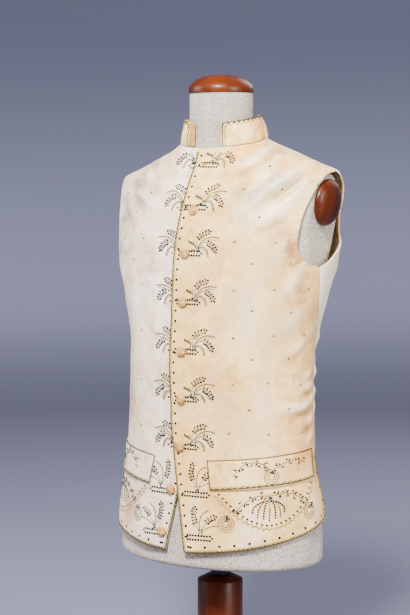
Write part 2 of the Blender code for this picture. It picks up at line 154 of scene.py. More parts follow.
def smooth_rows(table, place):
    """The table's columns read at `place`, its first column, on a curve that doesn't overshoot."""
    table = np.asarray(table, float)
    knots, values = table[:, 0], table[:, 1:]
    spans = np.diff(knots)[:, None]
    slopes = np.diff(values, axis=0) / spans
    tangents = np.zeros_like(values)
    tangents[0], tangents[-1] = slopes[0], slopes[-1]
    before, after = slopes[:-1], slopes[1:]
    mean = (before * spans[1:] + after * spans[:-1]) / (spans[1:] + spans[:-1])
    limit = 2 * np.minimum(abs(before), abs(after))
    tangents[1:-1] = np.where(before * after > 0, np.sign(before) * np.minimum(abs(mean), limit), 0)
    place = np.clip(np.asarray(place, float), knots[0], knots[-1])
    i = np.clip(np.searchsorted(knots, place, side="right") - 1, 0, len(knots) - 2)
    width = knots[i + 1] - knots[i]
    s = ((place - knots[i]) / width)[..., None]
    width = width[..., None]
    return (values[i] * (2 * s**3 - 3 * s**2 + 1) + tangents[i] * width * (s**3 - 2 * s**2 + s)
            + values[i + 1] * (3 * s**2 - 2 * s**3) + tangents[i + 1] * width * (s**3 - s**2))


def on_section(table, turn, rise):
    """Points on the stacked sections, in millimetres, z being the rise."""
    turn, rise = np.broadcast_arrays(np.radians(turn), np.asarray(rise, float))
    half, front, back, middle = np.moveaxis(smooth_rows(table, rise), -1, 0)
    along = np.cos(turn)
    reach = np.where(along > 0, front + middle, back - middle)
    return np.stack([half * np.sin(turn), middle - reach * along, rise], axis=-1)


def smooth_step(s):
    """0 to 1 with a soft start and end."""
    return s * s * (3 - 2 * s)


def unit(vectors):
    """The vectors at length 1."""
    return vectors / np.maximum(np.linalg.norm(vectors, axis=-1, keepdims=True), 1e-12)


def outward(turn, rise):
    """Unit normals of the waistcoat's skin."""
    rise = np.clip(rise, COAT[0][0] + 1.0, COAT[-1][0] - 1.0)
    round_it = on_section(COAT, turn + 0.5, rise) - on_section(COAT, turn - 0.5, rise)
    up_it = on_section(COAT, turn, rise + 1) - on_section(COAT, turn, rise - 1)
    return unit(np.cross(round_it, up_it))


def flare(turn, rise):
    """How far the back's armhole edge stands off: once beside the arm cap, once below it."""
    along = 5.5 * np.exp(-((rise - 572) / 30) ** 2) + 3.5 * np.exp(-((rise - 495) / 13) ** 2)
    return along * np.exp(-((turn - 116) / 11) ** 2)


def sway(x, rise):
    """How much the shoulders are out of level: the wearer's left one is the higher."""
    side = np.clip((abs(x) - 32) / 66, 0, 1)
    side = np.sign(x) * smooth_step(side)
    up = smooth_step(np.clip((rise - 540) / 60, 0, 1))
    return (4.5 * side - 1.6 * abs(side)) * up * np.clip((675 - rise) / 20, 0, 1)


class FlatMap:
    """Turns a distance across the cloth into a turn round the body, and back."""

    def __init__(self):
        self.rises = np.arange(COAT[0][0], COAT[-1][0] + 1, 5.0)
        self.turns = np.linspace(-30, 180, 211)
        turn, rise = np.meshgrid(self.turns, self.rises)
        steps = np.linalg.norm(np.diff(on_section(COAT, turn, rise), axis=1), axis=-1)
        arc = np.concatenate([np.zeros((len(self.rises), 1)), np.cumsum(steps, axis=1)], axis=1)
        start = np.array([np.interp(0, self.turns, row) for row in arc])
        self.arc = arc - start[:, None]
        self.spans = np.arange(-40, 560, 2.0)
        self.turn = np.array([np.interp(self.spans, row, self.turns) for row in self.arc])

    def read(self, grid, columns, place, rise):
        j = np.clip((place - columns[0]) / (columns[1] - columns[0]), 0, len(columns) - 1.001)
        i = np.clip((rise - self.rises[0]) / 5.0, 0, len(self.rises) - 1.001)
        j0, i0 = j.astype(int), i.astype(int)
        fj, fi = j - j0, i - i0
        low = grid[i0, j0] * (1 - fj) + grid[i0, j0 + 1] * fj
        high = grid[i0 + 1, j0] * (1 - fj) + grid[i0 + 1, j0 + 1] * fj
        return low * (1 - fi) + high * fi

    def across(self, turn, rise):
        return self.read(self.arc, self.turns, turn, rise)

    def turn_at(self, across, rise):
        return self.read(self.turn, self.spans, across, rise)


FLAT = FlatMap()

# Soft folds of the fronts and backs. Each runs from one place on the cloth to another; a height
# over 0 stands out as a ridge, and under 0 sinks in as a trough.
LEFT_FOLDS = (
    # across, rise, across, rise, width, height
    (116, 646, 66, 612, 7, 2.2), (104, 632, 58, 596, 8, -1.6), (128, 632, 92, 590, 9, 1.3),
    (168, 612, 112, 574, 9, 1.9), (176, 600, 120, 556, 8, -1.5), (184, 588, 132, 552, 8, 1.3),
    (150, 606, 84, 548, 14, 1.0), (164, 556, 96, 520, 12, 1.3), (158, 540, 104, 512, 9, -1.2),
    (172, 520, 130, 470, 11, 1.2), (176, 492, 150, 452, 8, -1.3), (190, 470, 158, 424, 10, 1.3),
    (60, 580, 22, 548, 8, 1.0), (70, 560, 24, 540, 7, -0.9), (54, 508, 20, 486, 7, 0.9),
    (60, 436, 20, 413, 8, 0.9), (62, 360, 20, 339, 8, 0.8), (58, 290, 18, 267, 8, 0.9),
    (56, 214, 18, 195, 8, 0.8), (236, 262, 158, 250, 7, 2.0), (238, 250, 172, 240, 7, -1.6),
    (232, 286, 200, 280, 6, 1.5), (232, 274, 204, 270, 4, -1.2), (230, 304, 206, 296, 5, 1.3),
    (232, 234, 206, 228, 5, 1.4), (234, 222, 204, 214, 4, -1.2), (232, 210, 208, 200, 5, 1.2),
    (206, 356, 170, 330, 12, 1.5), (200, 338, 168, 316, 9, -1.2), (188, 398, 150, 372, 14, 1.4),
    (112, 470, 96, 330, 26, 1.1), (70, 330, 82, 236, 22, -0.9), (128, 300, 118, 206, 24, 1.1),
    (34, 120, 26, 40, 16, 1.0), (112, 118, 122, 44, 24, 2.1), (168, 130, 184, 58, 22, -1.8),
    (218, 122, 232, 70, 16, 1.8), (74, 118, 70, 42, 18, -1.6), (96, 604, 60, 566, 10, -0.9),
)
RIGHT_FOLDS = (
    # across, rise, across, rise, width, height
    (132, 594, 66, 556, 9, 2.1), (140, 578, 78, 544, 9, -1.6), (116, 620, 74, 584, 10, 1.2),
    (104, 636, 62, 604, 7, 1.7), (160, 600, 122, 560, 9, 1.4), (156, 552, 110, 520, 10, -1.3),
    (168, 520, 128, 480, 11, 1.3), (178, 478, 146, 436, 12, 1.4), (190, 452, 160, 410, 10, -1.1),
    (66, 516, 36, 498, 8, 1.0), (72, 444, 38, 424, 9, 1.0), (68, 368, 36, 350, 8, -1.0),
    (70, 300, 36, 280, 8, 0.9), (204, 350, 172, 326, 12, 1.5), (236, 270, 170, 262, 7, 1.8),
    (232, 252, 186, 248, 5, -1.4), (232, 232, 204, 224, 5, 1.3), (100, 440, 92, 300, 26, 1.3),
    (130, 290, 124, 200, 22, -1.0), (58, 118, 64, 42, 16, 1.6), (104, 118, 116, 46, 22, -1.8),
    (150, 126, 164, 54, 20, 2.0), (206, 120, 222, 66, 18, -1.5), (34, 96, 30, 50, 9, -0.8),
)
BACK_FOLDS = (
    # across, rise, across, rise, width, height
    (250, 300, 330, 284, 10, 2.6), (246, 286, 322, 268, 7, -2.0), (250, 270, 340, 256, 9, 2.4),
    (252, 246, 318, 238, 8, 1.8), (250, 332, 312, 322, 8, -1.6), (254, 352, 300, 346, 10, 1.9),
    (400, 360, 392, 150, 24, 2.2), (352, 420, 360, 210, 30, -2.2), (306, 440, 318, 330, 22, 2.0),
    (380, 560, 330, 500, 16, 1.8), (350, 590, 300, 540, 12, -1.5), (400, 610, 360, 570, 14, 1.4),
    (330, 130, 338, 60, 20, 2.4), (372, 134, 382, 60, 22, -2.2), (286, 128, 290, 70, 16, -1.8),
    (410, 140, 420, 60, 18, 2.0), (300, 480, 270, 446, 10, 1.6), (420, 520, 404, 440, 20, -1.4),
)


def folds(table, across, rise, depth):
    """Height of the folds over the smooth cloth, in millimetres."""
    total = np.zeros(np.shape(across))
    for a0, r0, a1, r1, width, height in table:
        run = np.array((a1 - a0, r1 - r0), float)
        length = math.hypot(*run)
        run /= length
        along = (across - a0) * run[0] + (rise - r0) * run[1]
        bow = 0.06 * length * np.sin(math.pi * np.clip(along / length, 0, 1))
        aside = (rise - r0) * run[0] - (across - a0) * run[1] - bow
        end = np.clip(along / length, 0, 1)
        fade = np.sin(math.pi * np.clip(end * 0.86 + 0.07, 0, 1)) ** 0.8
        past = np.maximum(np.maximum(-along, along - length), 0) / (2.2 * width)
        narrow = width * (0.75 + 0.5 * end)
        total += height * fade * np.exp(-(aside / narrow) ** 2 - past**2)
    return total * depth * (1 + 0.6 * np.clip((rise - 130) / 40, 0, 1))


def lap_dip(across):
    """How far the under front sinks beneath the one that laps over it."""
    return LAP_DIP * smooth_step(np.clip((56 - across) / 28, 0, 1))


class Side:
    """One side of the waistcoat: where a place on its flat cloth comes to lie."""

    def __init__(self, mirrored, table, depth):
        self.mirrored, self.table, self.depth = mirrored, table, depth

    def creases(self, across, rise):
        """Height of the folds alone, which the cloth's painted shade and painted highlight follow."""
        return folds(self.table, across, rise, self.depth)

    def lift(self, across, rise):
        lift = self.creases(across, rise)
        return lift - lap_dip(across) if self.mirrored and self.table is RIGHT_FOLDS else lift

    def skin(self, turn, rise, across, out=0.0):
        """Points on the outer face, in metres, `out` millimetres off it."""
        lift = self.lift(across, rise) + out + flare(turn, rise)
        points = on_section(COAT, turn, rise) + outward(turn, rise) * lift[..., None]
        if self.mirrored:
            points = points * (-1, 1, 1)
        points[..., 2] += sway(points[..., 0], points[..., 2])
        return (points + (0, 0, FORM_FLOOR)) * MM

    def at(self, across, rise, out=0.0):
        across, rise = np.asarray(across, float), np.asarray(rise, float)
        return self.skin(FLAT.turn_at(across, rise), rise, across, out)

    def normals(self, across, rise):
        round_it = self.at(across + 1, rise) - self.at(across - 1, rise)
        up_it = self.at(across, rise + 1) - self.at(across, rise - 1)
        found = unit(np.cross(round_it, up_it))
        return -found if self.mirrored else found


def edge(*tables):
    """A function from t to (turn, rise) along tables joined end to end."""
    def at(t):
        for table in tables:
            if t <= table[-1][0] + 1e-9:
                return tuple(smooth_rows(table, t))
        return tuple(smooth_rows(tables[-1], t))
    return at


def front_edge(t, neckline=FRONT_NECKLINE):
    """The centre-front edge up to the neck, then the neckline."""
    if t <= FRONT_EDGE[-1][0] + 1e-9:
        across, rise = smooth_rows(FRONT_EDGE, t)
        half = smooth_rows(COAT, rise)[0]
        return math.degrees(math.asin(across / half)), rise
    return tuple(smooth_rows(neckline, t))


def back_inner(t):
    """The centre back up to the neck, then the back neckline."""
    top = BACK_NECKLINE[0]
    if t <= top[0] + 1e-9:
        return 179.9, BACK_HEM_RISE + (top[2] - BACK_HEM_RISE) * t / top[0]
    return tuple(smooth_rows(BACK_NECKLINE, t) - (0.1 if t < 0.85 else 0, 0))


def back_side(t):
    """The back's side edge, with a square corner at the hem and a hair's gap at the seam."""
    vent = SIDE_SEAM[2]
    if t < vent[0]:
        turn, rise = BACK_HEM_SIDE
        return turn + 0.3, rise + (vent[2] - rise) * t / vent[0]
    turn, rise = edge(SIDE_SEAM, BACK_ARMHOLE)(t)
    return turn + 0.3, rise


def flap_edge(low, high):
    """A straight edge of the flap between two of its corners."""
    def at(t):
        return tuple(np.array(FLAP[low]) * (1 - t) + np.array(FLAP[high]) * t)
    return at


# ---------------------------------------------------------------- materials

def linear(hex_colour):
    """An sRGB hex colour as linear red, green, blue and alpha."""
    channels = [int(hex_colour[i:i + 2], 16) / 255 for i in (1, 3, 5)]
    return tuple(c / 12.92 if c <= 0.04045 else ((c + 0.055) / 1.055) ** 2.4 for c in channels) + (1.0,)


def add_node(tree, kind, inputs=(), **settings):
    """Adds a node; `inputs` pairs a socket's name or index with a value or with another socket."""
    node = tree.nodes.new(kind)
    for name, value in settings.items():
        setattr(node, name, value)
    for name, value in inputs:
        if isinstance(value, bpy.types.NodeSocket):
            tree.links.new(value, node.inputs[name])
        else:
            node.inputs[name].default_value = value
    return node


def start_material(name, roughness, metallic=0.0, **values):
    """A new material with its shader; `values` are sockets by name, with _ for a space."""
    material = bpy.data.materials.new(name)
    material.use_nodes = True
    tree = material.node_tree
    shader = tree.nodes["Principled BSDF"]
    shader.inputs["Roughness"].default_value = roughness
    shader.inputs["Metallic"].default_value = metallic
    for name_of, value in values.items():
        shader.inputs[name_of.replace("_", " ")].default_value = value
    return material, tree, shader


def blend_colours(tree, factor, first, second, blend="MIX"):
    """The first colour with the second laid over it by the factor."""
    node = add_node(tree, "ShaderNodeMix", [(0, factor), (6, first), (7, second)], data_type="RGBA",
                    blend_type=blend, clamp_factor=True)
    return node.outputs[2]


def noise_value(tree, vector, per_metre, detail=2.0, roughness=0.5, stretch=(1, 1, 1), low=0.35, high=0.65):
    """Noise with features 1/per_metre wide, spread between low and high to fill 0 to 1."""
    mapping = add_node(tree, "ShaderNodeMapping", [("Vector", vector), ("Scale", stretch)])
    noise = add_node(tree, "ShaderNodeTexNoise", [("Vector", mapping.outputs[0]), ("Scale", per_metre),
                                                  ("Detail", detail), ("Roughness", roughness)])
    spread = add_node(tree, "ShaderNodeMapRange", [("Value", noise.outputs["Fac"]), ("From Min", low),
                                                   ("From Max", high)])
    return spread.outputs[0]


def thread_bump(tree, shader, vector, pitch, strength, distance, second_axis=True):
    """Raised threads `pitch` metres apart, across and down."""
    heights = []
    for direction in ("X", "Y")[: 2 if second_axis else 1]:
        wave = add_node(tree, "ShaderNodeTexWave", [("Vector", vector), ("Scale", 0.314 / pitch),
                                                    ("Distortion", 0.6), ("Detail", 1.0)],
                        bands_direction=direction)
        heights.append(wave.outputs["Fac"])
    height = heights[0]
    if second_axis:
        height = add_node(tree, "ShaderNodeMath", [(0, heights[0]), (1, heights[1])],
                          operation="MAXIMUM").outputs[0]
    bump = add_node(tree, "ShaderNodeBump", [("Height", height), ("Strength", strength),
                                             ("Distance", distance)])
    tree.links.new(bump.outputs[0], shader.inputs["Normal"])


# Marks of age on each front. A stain fades outwards from its middle, and its edge wanders.
RUST, GREY, PEACH, GOLDEN = "#a8743c", "#93806a", "#dba877", "#e3bd7c"
STAIN_STRENGTH, STAIN_WANDER = 2.4, 70 * MM
LEFT_STAINS = (
    # across, rise, wide, high, depth, colour
    (168, 500, 15, 26, 0.95, RUST), (178, 476, 12, 16, 0.9, RUST), (156, 516, 24, 22, 0.5, RUST),
    (140, 500, 30, 40, 0.30, GREY), (104, 572, 48, 20, 0.55, GREY), (146, 590, 40, 22, 0.55, GREY),
    (118, 634, 26, 12, 0.45, GREY), (90, 540, 40, 24, 0.30, GREY), (40, 432, 26, 44, 0.55, PEACH),
    (58, 372, 34, 40, 0.60, PEACH), (66, 238, 26, 52, 0.50, PEACH), (48, 300, 22, 34, 0.45, PEACH),
    (120, 470, 60, 60, 0.40, GOLDEN), (150, 360, 46, 90, 0.45, GOLDEN), (120, 230, 60, 50, 0.35, GOLDEN),
    (96, 410, 26, 50, 0.28, GREY), (186, 440, 16, 50, 0.45, RUST), (208, 240, 14, 60, 0.35, RUST),
    (52, 500, 30, 30, 0.40, PEACH), (200, 100, 36, 40, 0.35, GOLDEN), (60, 60, 40, 26, 0.30, GOLDEN),
)
RIGHT_STAINS = (
    # across, rise, wide, high, depth, colour
    (128, 596, 46, 20, 0.60, GREY), (96, 624, 36, 14, 0.60, GREY), (112, 566, 52, 26, 0.55, GREY),
    (150, 540, 26, 50, 0.55, GREY), (84, 590, 26, 30, 0.35, GREY), (164, 480, 18, 60, 0.40, GREY),
    (120, 500, 40, 30, 0.25, GREY), (70, 470, 26, 60, 0.22, GREY), (190, 420, 24, 70, 0.30, GREY),
    (60, 610, 26, 20, 0.45, PEACH), (110, 330, 50, 70, 0.22, PEACH), (150, 250, 40, 50, 0.22, GREY),
)


def satin(name, base, warm, stains):
    """Silk satin, woven with long floats: a smooth, softly shining face, yellowed and marked with age."""
    material, tree, shader = start_material(name, 0.4, Sheen_Weight=0.08, Sheen_Roughness=0.4,
                                            Specular_IOR_Level=0.5)
    uv = add_node(tree, "ShaderNodeUVMap", uv_map="cut").outputs[0]
    cloud = noise_value(tree, uv, 9.0, 4.0, 0.6)
    mottle = noise_value(tree, uv, 42.0, 6.0, 0.72, low=0.46, high=0.74)
    dust = noise_value(tree, uv, 19.0, 6.0, 0.75, low=0.50, high=0.72)
    streak = noise_value(tree, uv, 26.0, 3.0, 0.6, stretch=(1.0, 0.16, 1.0), low=0.3, high=0.75)
    colour = blend_colours(tree, cloud, base, warm)
    colour = blend_colours(tree, streak, colour, linear("#efe2cc"), "MULTIPLY")
    colour = blend_colours(tree, mottle, colour, linear("#dcc19a"), "MULTIPLY")
    colour = blend_colours(tree, dust, colour, linear("#e3d0b6"), "MULTIPLY")
    # Painted shade darkens the fold troughs and a painted highlight lightens the ridges between them,
    # following each vertex's fold height.
    fold_shading = add_node(tree, "ShaderNodeAttribute", attribute_name="fold_shading").outputs["Fac"]
    for full_height, tint, blend in ((-3.0, "#b99c72", "MULTIPLY"), (4.0, "#fff6e2", "MIX")):
        share = add_node(tree, "ShaderNodeMapRange", [("Value", fold_shading), ("From Max", full_height),
                                                      ("To Max", 0.75)])
        colour = blend_colours(tree, share.outputs[0], colour, linear(tint), blend)
    wander = add_node(tree, "ShaderNodeTexNoise", [("Vector", uv), ("Scale", 34.0), ("Detail", 6.0),
                                                   ("Roughness", 0.7)])
    moved = add_node(tree, "ShaderNodeVectorMath", [(0, wander.outputs["Color"]), (1, (0.5, 0.5, 0.5))],
                     operation="SUBTRACT")
    moved = add_node(tree, "ShaderNodeVectorMath", [(0, moved.outputs[0]), (3, STAIN_WANDER)],
                     operation="SCALE")
    spot = add_node(tree, "ShaderNodeVectorMath", [(0, uv), (1, moved.outputs[0])], operation="ADD")
    patchy = add_node(tree, "ShaderNodeMath", [(0, dust), (1, 0.9)], operation="MULTIPLY_ADD")
    patchy.inputs[2].default_value = 0.55
    for across, rise, wide, high, depth, tint in stains:
        place = add_node(tree, "ShaderNodeMapping", [("Vector", spot.outputs[0]),
                                                     ("Location", (across * MM, rise * MM, 0)),
                                                     ("Scale", (wide * MM, high * MM, 1.0))],
                         vector_type="TEXTURE")
        ball = add_node(tree, "ShaderNodeTexGradient", [("Vector", place.outputs[0])],
                        gradient_type="SPHERICAL")
        share = add_node(tree, "ShaderNodeMath", [(0, ball.outputs["Fac"]), (1, depth * STAIN_STRENGTH)],
                         operation="MULTIPLY")
        share = add_node(tree, "ShaderNodeMath", [(0, share.outputs[0]), (1, patchy.outputs[0])],
                         operation="MULTIPLY")
        colour = blend_colours(tree, share.outputs[0], colour, linear(tint))
    tree.links.new(colour, shader.inputs["Base Color"])
    # The real floats are 0.1 mm apart; drawn 1.1 mm apart so that their grain shows at all.
    thread_bump(tree, shader, uv, 0.0011, 0.10, 0.0003, second_axis=False)
    return material


def plain_weave(name, hex_dark, hex_light, pitch, strength, coarse=0.0):
    """Tabby weave, the same thread over and under both ways: matt, with a fine square grain."""
    material, tree, shader = start_material(name, 0.85, Sheen_Weight=0.15, Specular_IOR_Level=0.25)
    uv = add_node(tree, "ShaderNodeUVMap", uv_map="cut").outputs[0]
    cloud = noise_value(tree, uv, 14.0, 5.0, 0.65)
    slub_a = noise_value(tree, uv, 260.0, 2.0, 0.6, stretch=(1, 0.10, 1))
    slub_b = noise_value(tree, uv, 260.0, 2.0, 0.6, stretch=(0.10, 1, 1))
    grain = add_node(tree, "ShaderNodeMath", [(0, slub_a), (1, slub_b)], operation="MULTIPLY")
    mixed = add_node(tree, "ShaderNodeMath", [(0, grain.outputs[0]), (1, cloud)], operation="MULTIPLY_ADD")
    mixed.inputs[2].default_value = 0.2
    colour = blend_colours(tree, mixed.outputs[0], linear(hex_dark), linear(hex_light))
    if coarse:
        gap = noise_value(tree, uv, 420.0, 1.0, 0.4, stretch=(1, 0.5, 1), low=0.40, high=0.70)
        colour = blend_colours(tree, gap, colour, linear("#c9c0b4"), "MULTIPLY")
    tree.links.new(colour, shader.inputs["Base Color"])
    thread_bump(tree, shader, uv, pitch, strength, 0.0004)
    return material


def mahogany():
    """Mahogany, turned and french-polished: deep red-brown grain under a clear, glassy skin."""
    material, tree, shader = start_material("french_polished_mahogany", 0.42, Coat_Weight=0.12,
                                            Coat_Roughness=0.22, Specular_IOR_Level=0.16)
    place = add_node(tree, "ShaderNodeTexCoord").outputs["Object"]
    figure = noise_value(tree, place, 28.0, 4.0, 0.6, stretch=(1, 1, 0.12))
    pores = noise_value(tree, place, 520.0, 1.0, 0.5, stretch=(1, 1, 0.05), low=0.55, high=0.7)
    tint = bpy.context.scene.waistcoat_form.wood
    colour = blend_colours(tree, figure, linear("#260b01"), (*tint, 1.0))
    pore = add_node(tree, "ShaderNodeMath", [(0, pores), (1, 0.35)], operation="MULTIPLY")
    colour = blend_colours(tree, pore.outputs[0], colour, linear("#2a0c03"))
    tree.links.new(colour, shader.inputs["Base Color"])
    return material


def blued_steel():
    """Steel, turned and heat-blued: dark, with turning rings that catch the light."""
    material, tree, shader = start_material("blued_steel", 0.34, 1.0)
    place = add_node(tree, "ShaderNodeTexCoord").outputs["Object"]
    rings = noise_value(tree, place, 700.0, 1.0, 0.5, stretch=(0.02, 0.02, 1))
    colour = blend_colours(tree, rings, linear("#2c2e33"), linear("#5a5c60"))
    tree.links.new(colour, shader.inputs["Base Color"])
    return material


def silk_thread(name, hex_dark, hex_light, roughness=0.45):
    """Floss silk laid in short stitches: bright where it turns to the light."""
    material, tree, shader = start_material(name, roughness, Sheen_Weight=0.1, Specular_IOR_Level=0.3)
    place = add_node(tree, "ShaderNodeTexCoord").outputs["Object"]
    tone = noise_value(tree, place, 260.0, 2.0, 0.5)
    colour = blend_colours(tree, tone, linear(hex_dark), linear(hex_light))
    tree.links.new(colour, shader.inputs["Base Color"])
    return material


def jet_bead():
    """Cut black glass and blackened spangles: nearly black, with small hard glints."""
    material, tree, shader = start_material("jet_bead", 0.45, Specular_IOR_Level=0.2)
    place = add_node(tree, "ShaderNodeTexCoord").outputs["Object"]
    tone = noise_value(tree, place, 180.0, 1.0, 0.5)
    colour = blend_colours(tree, tone, linear("#050608"), linear("#0f1219"))
    tree.links.new(colour, shader.inputs["Base Color"])
    return material


MATERIALS = {}


def material_named(key):
    """The material of that key, made when it is first wanted."""
    makers = {
        "satin_left": lambda: satin("aged_silk_satin", linear("#fbdc98"), linear("#f1be6c"), LEFT_STAINS),
        "satin_right": lambda: satin("pale_silk_satin", linear("#f6e9de"), linear("#ebd2b4"), RIGHT_STAINS),
        "back": lambda: plain_weave("back_linen", "#e6d2b0", "#fdf0d8", 0.0016, 0.3),
        "lining": lambda: plain_weave("glazed_brown_lining", "#9a6a28", "#d9a556", 0.0016, 0.3),
        "form": lambda: plain_weave("form_linen", "#a3988a", "#d6cbba", 0.0026, 0.9, coarse=1.0),
        "wood": mahogany,
        "steel": blued_steel,
        "gold": lambda: silk_thread("yellow_floss_silk", "#77651a", "#c0aa42", 0.65),
        "olive": lambda: silk_thread("olive_floss_silk", "#2a270b", "#655b26", 0.65),
        "blue": lambda: silk_thread("slate_blue_floss_silk", "#16232c", "#3d535f", 0.6),
        "white": lambda: silk_thread("white_floss_silk", "#d9d6c6", "#f4f2e6"),
        "cord": lambda: silk_thread("brown_silk_cord", "#231c0b", "#4d3f1e", 0.75),
        "bead": jet_bead,
        "button": lambda: silk_thread("gold_silk_winding", "#8a5f22", "#d2a45c", 0.65),
    }
    if key not in MATERIALS:
        MATERIALS[key] = makers[key]()
    return MATERIALS[key]


# ---------------------------------------------------------------- making pieces

def finish_piece(name, bm, key, replaced=()):
    """Makes the mesh an object that rides on the body and stands for the named nodes."""
    mesh = bpy.data.meshes.new(name)
    bm.to_mesh(mesh)
    bm.free()
    mesh.materials.append(material_named(key))
    mesh.shade_smooth()
    piece = bpy.data.objects.new(name, mesh)
    bpy.context.scene.collection.objects.link(piece)
    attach(piece, "root")
    if replaced:
        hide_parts(*replaced)
    return piece


def add_wall(piece, wall):
    """Thickness, laid inwards from the outer face."""
    solidify = piece.modifiers.new("wall", "SOLIDIFY")
    solidify.thickness = wall * MM
    solidify.offset = -1.0
    solidify.use_rim = True
    solidify.use_quality_normals = True


def cloth_grid(columns, rows, place, fold_shading=None):
    """A grid bent to shape: place(s, t) gives points and flat cloth coordinates, both in metres."""
    bm = bmesh.new()
    bmesh.ops.create_grid(bm, x_segments=columns, y_segments=rows, size=0.5)
    bm.verts.ensure_lookup_table()
    st = np.array([vert.co[:2] for vert in bm.verts]) + 0.5
    points, flat = place(np.clip(st[:, 0], 0, 1), np.clip(st[:, 1], 0, 1))
    for vert, point in zip(bm.verts, points):
        vert.co = point
    layer = bm.loops.layers.uv.new("cut")
    for face in bm.faces:
        for loop in face.loops:
            loop[layer].uv = flat[loop.vert.index]
    # Fold heights kept on the vertices for the satin's painted shade in the troughs and painted highlight on
    # the ridges.
    if fold_shading is not None:
        depth = bm.verts.layers.float.new("fold_shading")
        for vert, value in zip(bm.verts, fold_shading(*flat.T / MM)):
            vert[depth] = value
    bm.normal_update()
    return bm


def ruled_place(side, inner, outer, t_low=0.0, t_high=1.0, s_high=1.0, out=0.0):
    """Rows that run from one cutting edge to the other, laid on one side of the body."""
    def place(s, t):
        t = t_low + (t_high - t_low) * t
        s = s * s_high
        known = np.unique(t)
        a = np.array([inner(x) for x in known])[np.searchsorted(known, t)]
        b = np.array([outer(x) for x in known])[np.searchsorted(known, t)]
        fall = s**ROW_BEND
        turn = a[:, 0] * (1 - s) + b[:, 0] * s
        rise = a[:, 1] * (1 - fall) + b[:, 1] * fall
        across = FLAT.across(turn, rise)
        return side.skin(turn, rise, across, out), np.stack([across, rise], axis=1) * MM
    return place


def cloth_piece(name, side, columns, rows, place, key, wall, replaced):
    """A ply of cloth on one side of the body, its face outwards."""
    bm = cloth_grid(columns, rows, place, side.creases)
    if side.mirrored:
        bmesh.ops.reverse_faces(bm, faces=bm.faces)
    piece = finish_piece(name, bm, key, replaced)
    add_wall(piece, wall)
    return piece


def the_sides():
    """The fronts' two sides, with the fold depth now set."""
    depth = bpy.context.scene.waistcoat_cloth.fold_depth
    return {"left": Side(False, LEFT_FOLDS, depth), "right": Side(True, RIGHT_FOLDS, depth)}


def spun(profile, steps, place=None):
    """A turned solid from (radius, height) pairs in millimetres."""
    bm = bmesh.new()
    verts = [bm.verts.new((r * MM, 0, z * MM)) for r, z in profile]
    edges = [bm.edges.new(pair) for pair in zip(verts, verts[1:])]
    bmesh.ops.spin(bm, geom=verts + edges, cent=(0, 0, 0), axis=(0, 0, 1), angle=2 * math.pi, steps=steps,
                   use_merge=True)
    bmesh.ops.remove_doubles(bm, verts=bm.verts, dist=1e-6)
    bmesh.ops.recalc_face_normals(bm, faces=bm.faces)
    if place is not None:
        bmesh.ops.transform(bm, matrix=place, verts=bm.verts)
    return bm


def dome(radius, height, steps, rim):
    """Profile of a flat-bottomed dome above a short upright rim with a soft lower edge."""
    profile = [(0.0, 0.0), (radius - 0.6, 0.0), (radius - 0.15, 0.2), (radius, 0.7)]
    for i in range(steps + 1):
        angle = math.pi / 2 * i / steps
        profile.append((radius * math.cos(angle) ** 0.9, rim + (height - rim) * math.sin(angle)))
    profile[-1] = (0.0, height)
    return profile


def sharp(piece, degrees=40):
    """Keeps edges steeper than this crisp under smooth shading."""
    piece.data.set_sharp_from_angle(angle=math.radians(degrees))
    return piece


# ---------------------------------------------------------------- settings

class ClothSettings(bpy.types.PropertyGroup):
    """Cloth of the waistcoat."""
    fold_depth: FloatProperty(name="Fold depth", description="How deep the soft folds are, as a share",
                              default=1.0, min=0.0, max=1.3, subtype="FACTOR")


class FormSettings(bpy.types.PropertyGroup):
    """Dress form and stand."""
    wood: FloatVectorProperty(name="Wood", description="Lighter colour of the polished mahogany",
                              default=linear("#5c2203")[:3], size=3, min=0, max=1, subtype="COLOR")


class EmbroiderySettings(bpy.types.PropertyGroup):
    """Beads and silks."""
    bead: FloatProperty(name="Bead", description="Diameter of a berry's bead", default=0.0038, min=0.001,
                        max=0.005, unit="LENGTH", subtype="DISTANCE")
    thread: FloatProperty(name="Thread", description="Width of a laid frond", default=0.0026, min=0.0005,
                          max=0.004, unit="LENGTH", subtype="DISTANCE")


class StageSettings(bpy.types.PropertyGroup):
    """Floor, lights and camera."""
    key_power: FloatProperty(name="Key light", description="Power of the large soft light", default=280.0,
                             min=0, unit="POWER")
    backdrop: FloatVectorProperty(name="Backdrop", description="Colour of floor and backdrop",
                                  default=linear("#a0a2c2")[:3], size=3, min=0, max=1, subtype="COLOR")


# ---------------------------------------------------------------- operators

class WAISTCOAT_OT_form(bpy.types.Operator):
    """Linen-covered torso and neck"""
    bl_idname = "waistcoat.form"
    bl_label = "Form"

    def execute(self, context):
        def place(s, t):
            turn, rise = s * 360, FORM[0][0] + t * (FORM[-1][0] - FORM[0][0])
            points = on_section(FORM, turn, rise)
            points[:, 2] += sway(points[:, 0], rise)
            # The arm plates are flat; the cloth pulls over their rim with a soft edge.
            plate = ARM_PLATE + math.tan(PLATE_LEAN) * (np.clip(points[:, 2], PLATE_LOW, PLATE_HIGH)
                                                               - PLATE_MIDDLE)
            over = np.maximum(abs(points[:, 0]) - plate + 2.0, 0)
            points[:, 0] = np.sign(points[:, 0]) * (abs(points[:, 0]) - over + np.minimum(over, 2.0) * 0.6)
            flat = np.stack([s * 0.9, rise * MM], axis=1)
            return (points + (0, 0, FORM_FLOOR)) * MM, flat
        bm = cloth_grid(144, 240, place)
        bmesh.ops.remove_doubles(bm, verts=bm.verts, dist=1e-6)
        rims = [e for e in bm.edges if e.is_boundary]
        bmesh.ops.holes_fill(bm, edges=rims)
        bmesh.ops.recalc_face_normals(bm, faces=bm.faces)
        sharp(finish_piece("torso_linen", bm, "form", ["form_torso"]), 50)
        return {"FINISHED"}


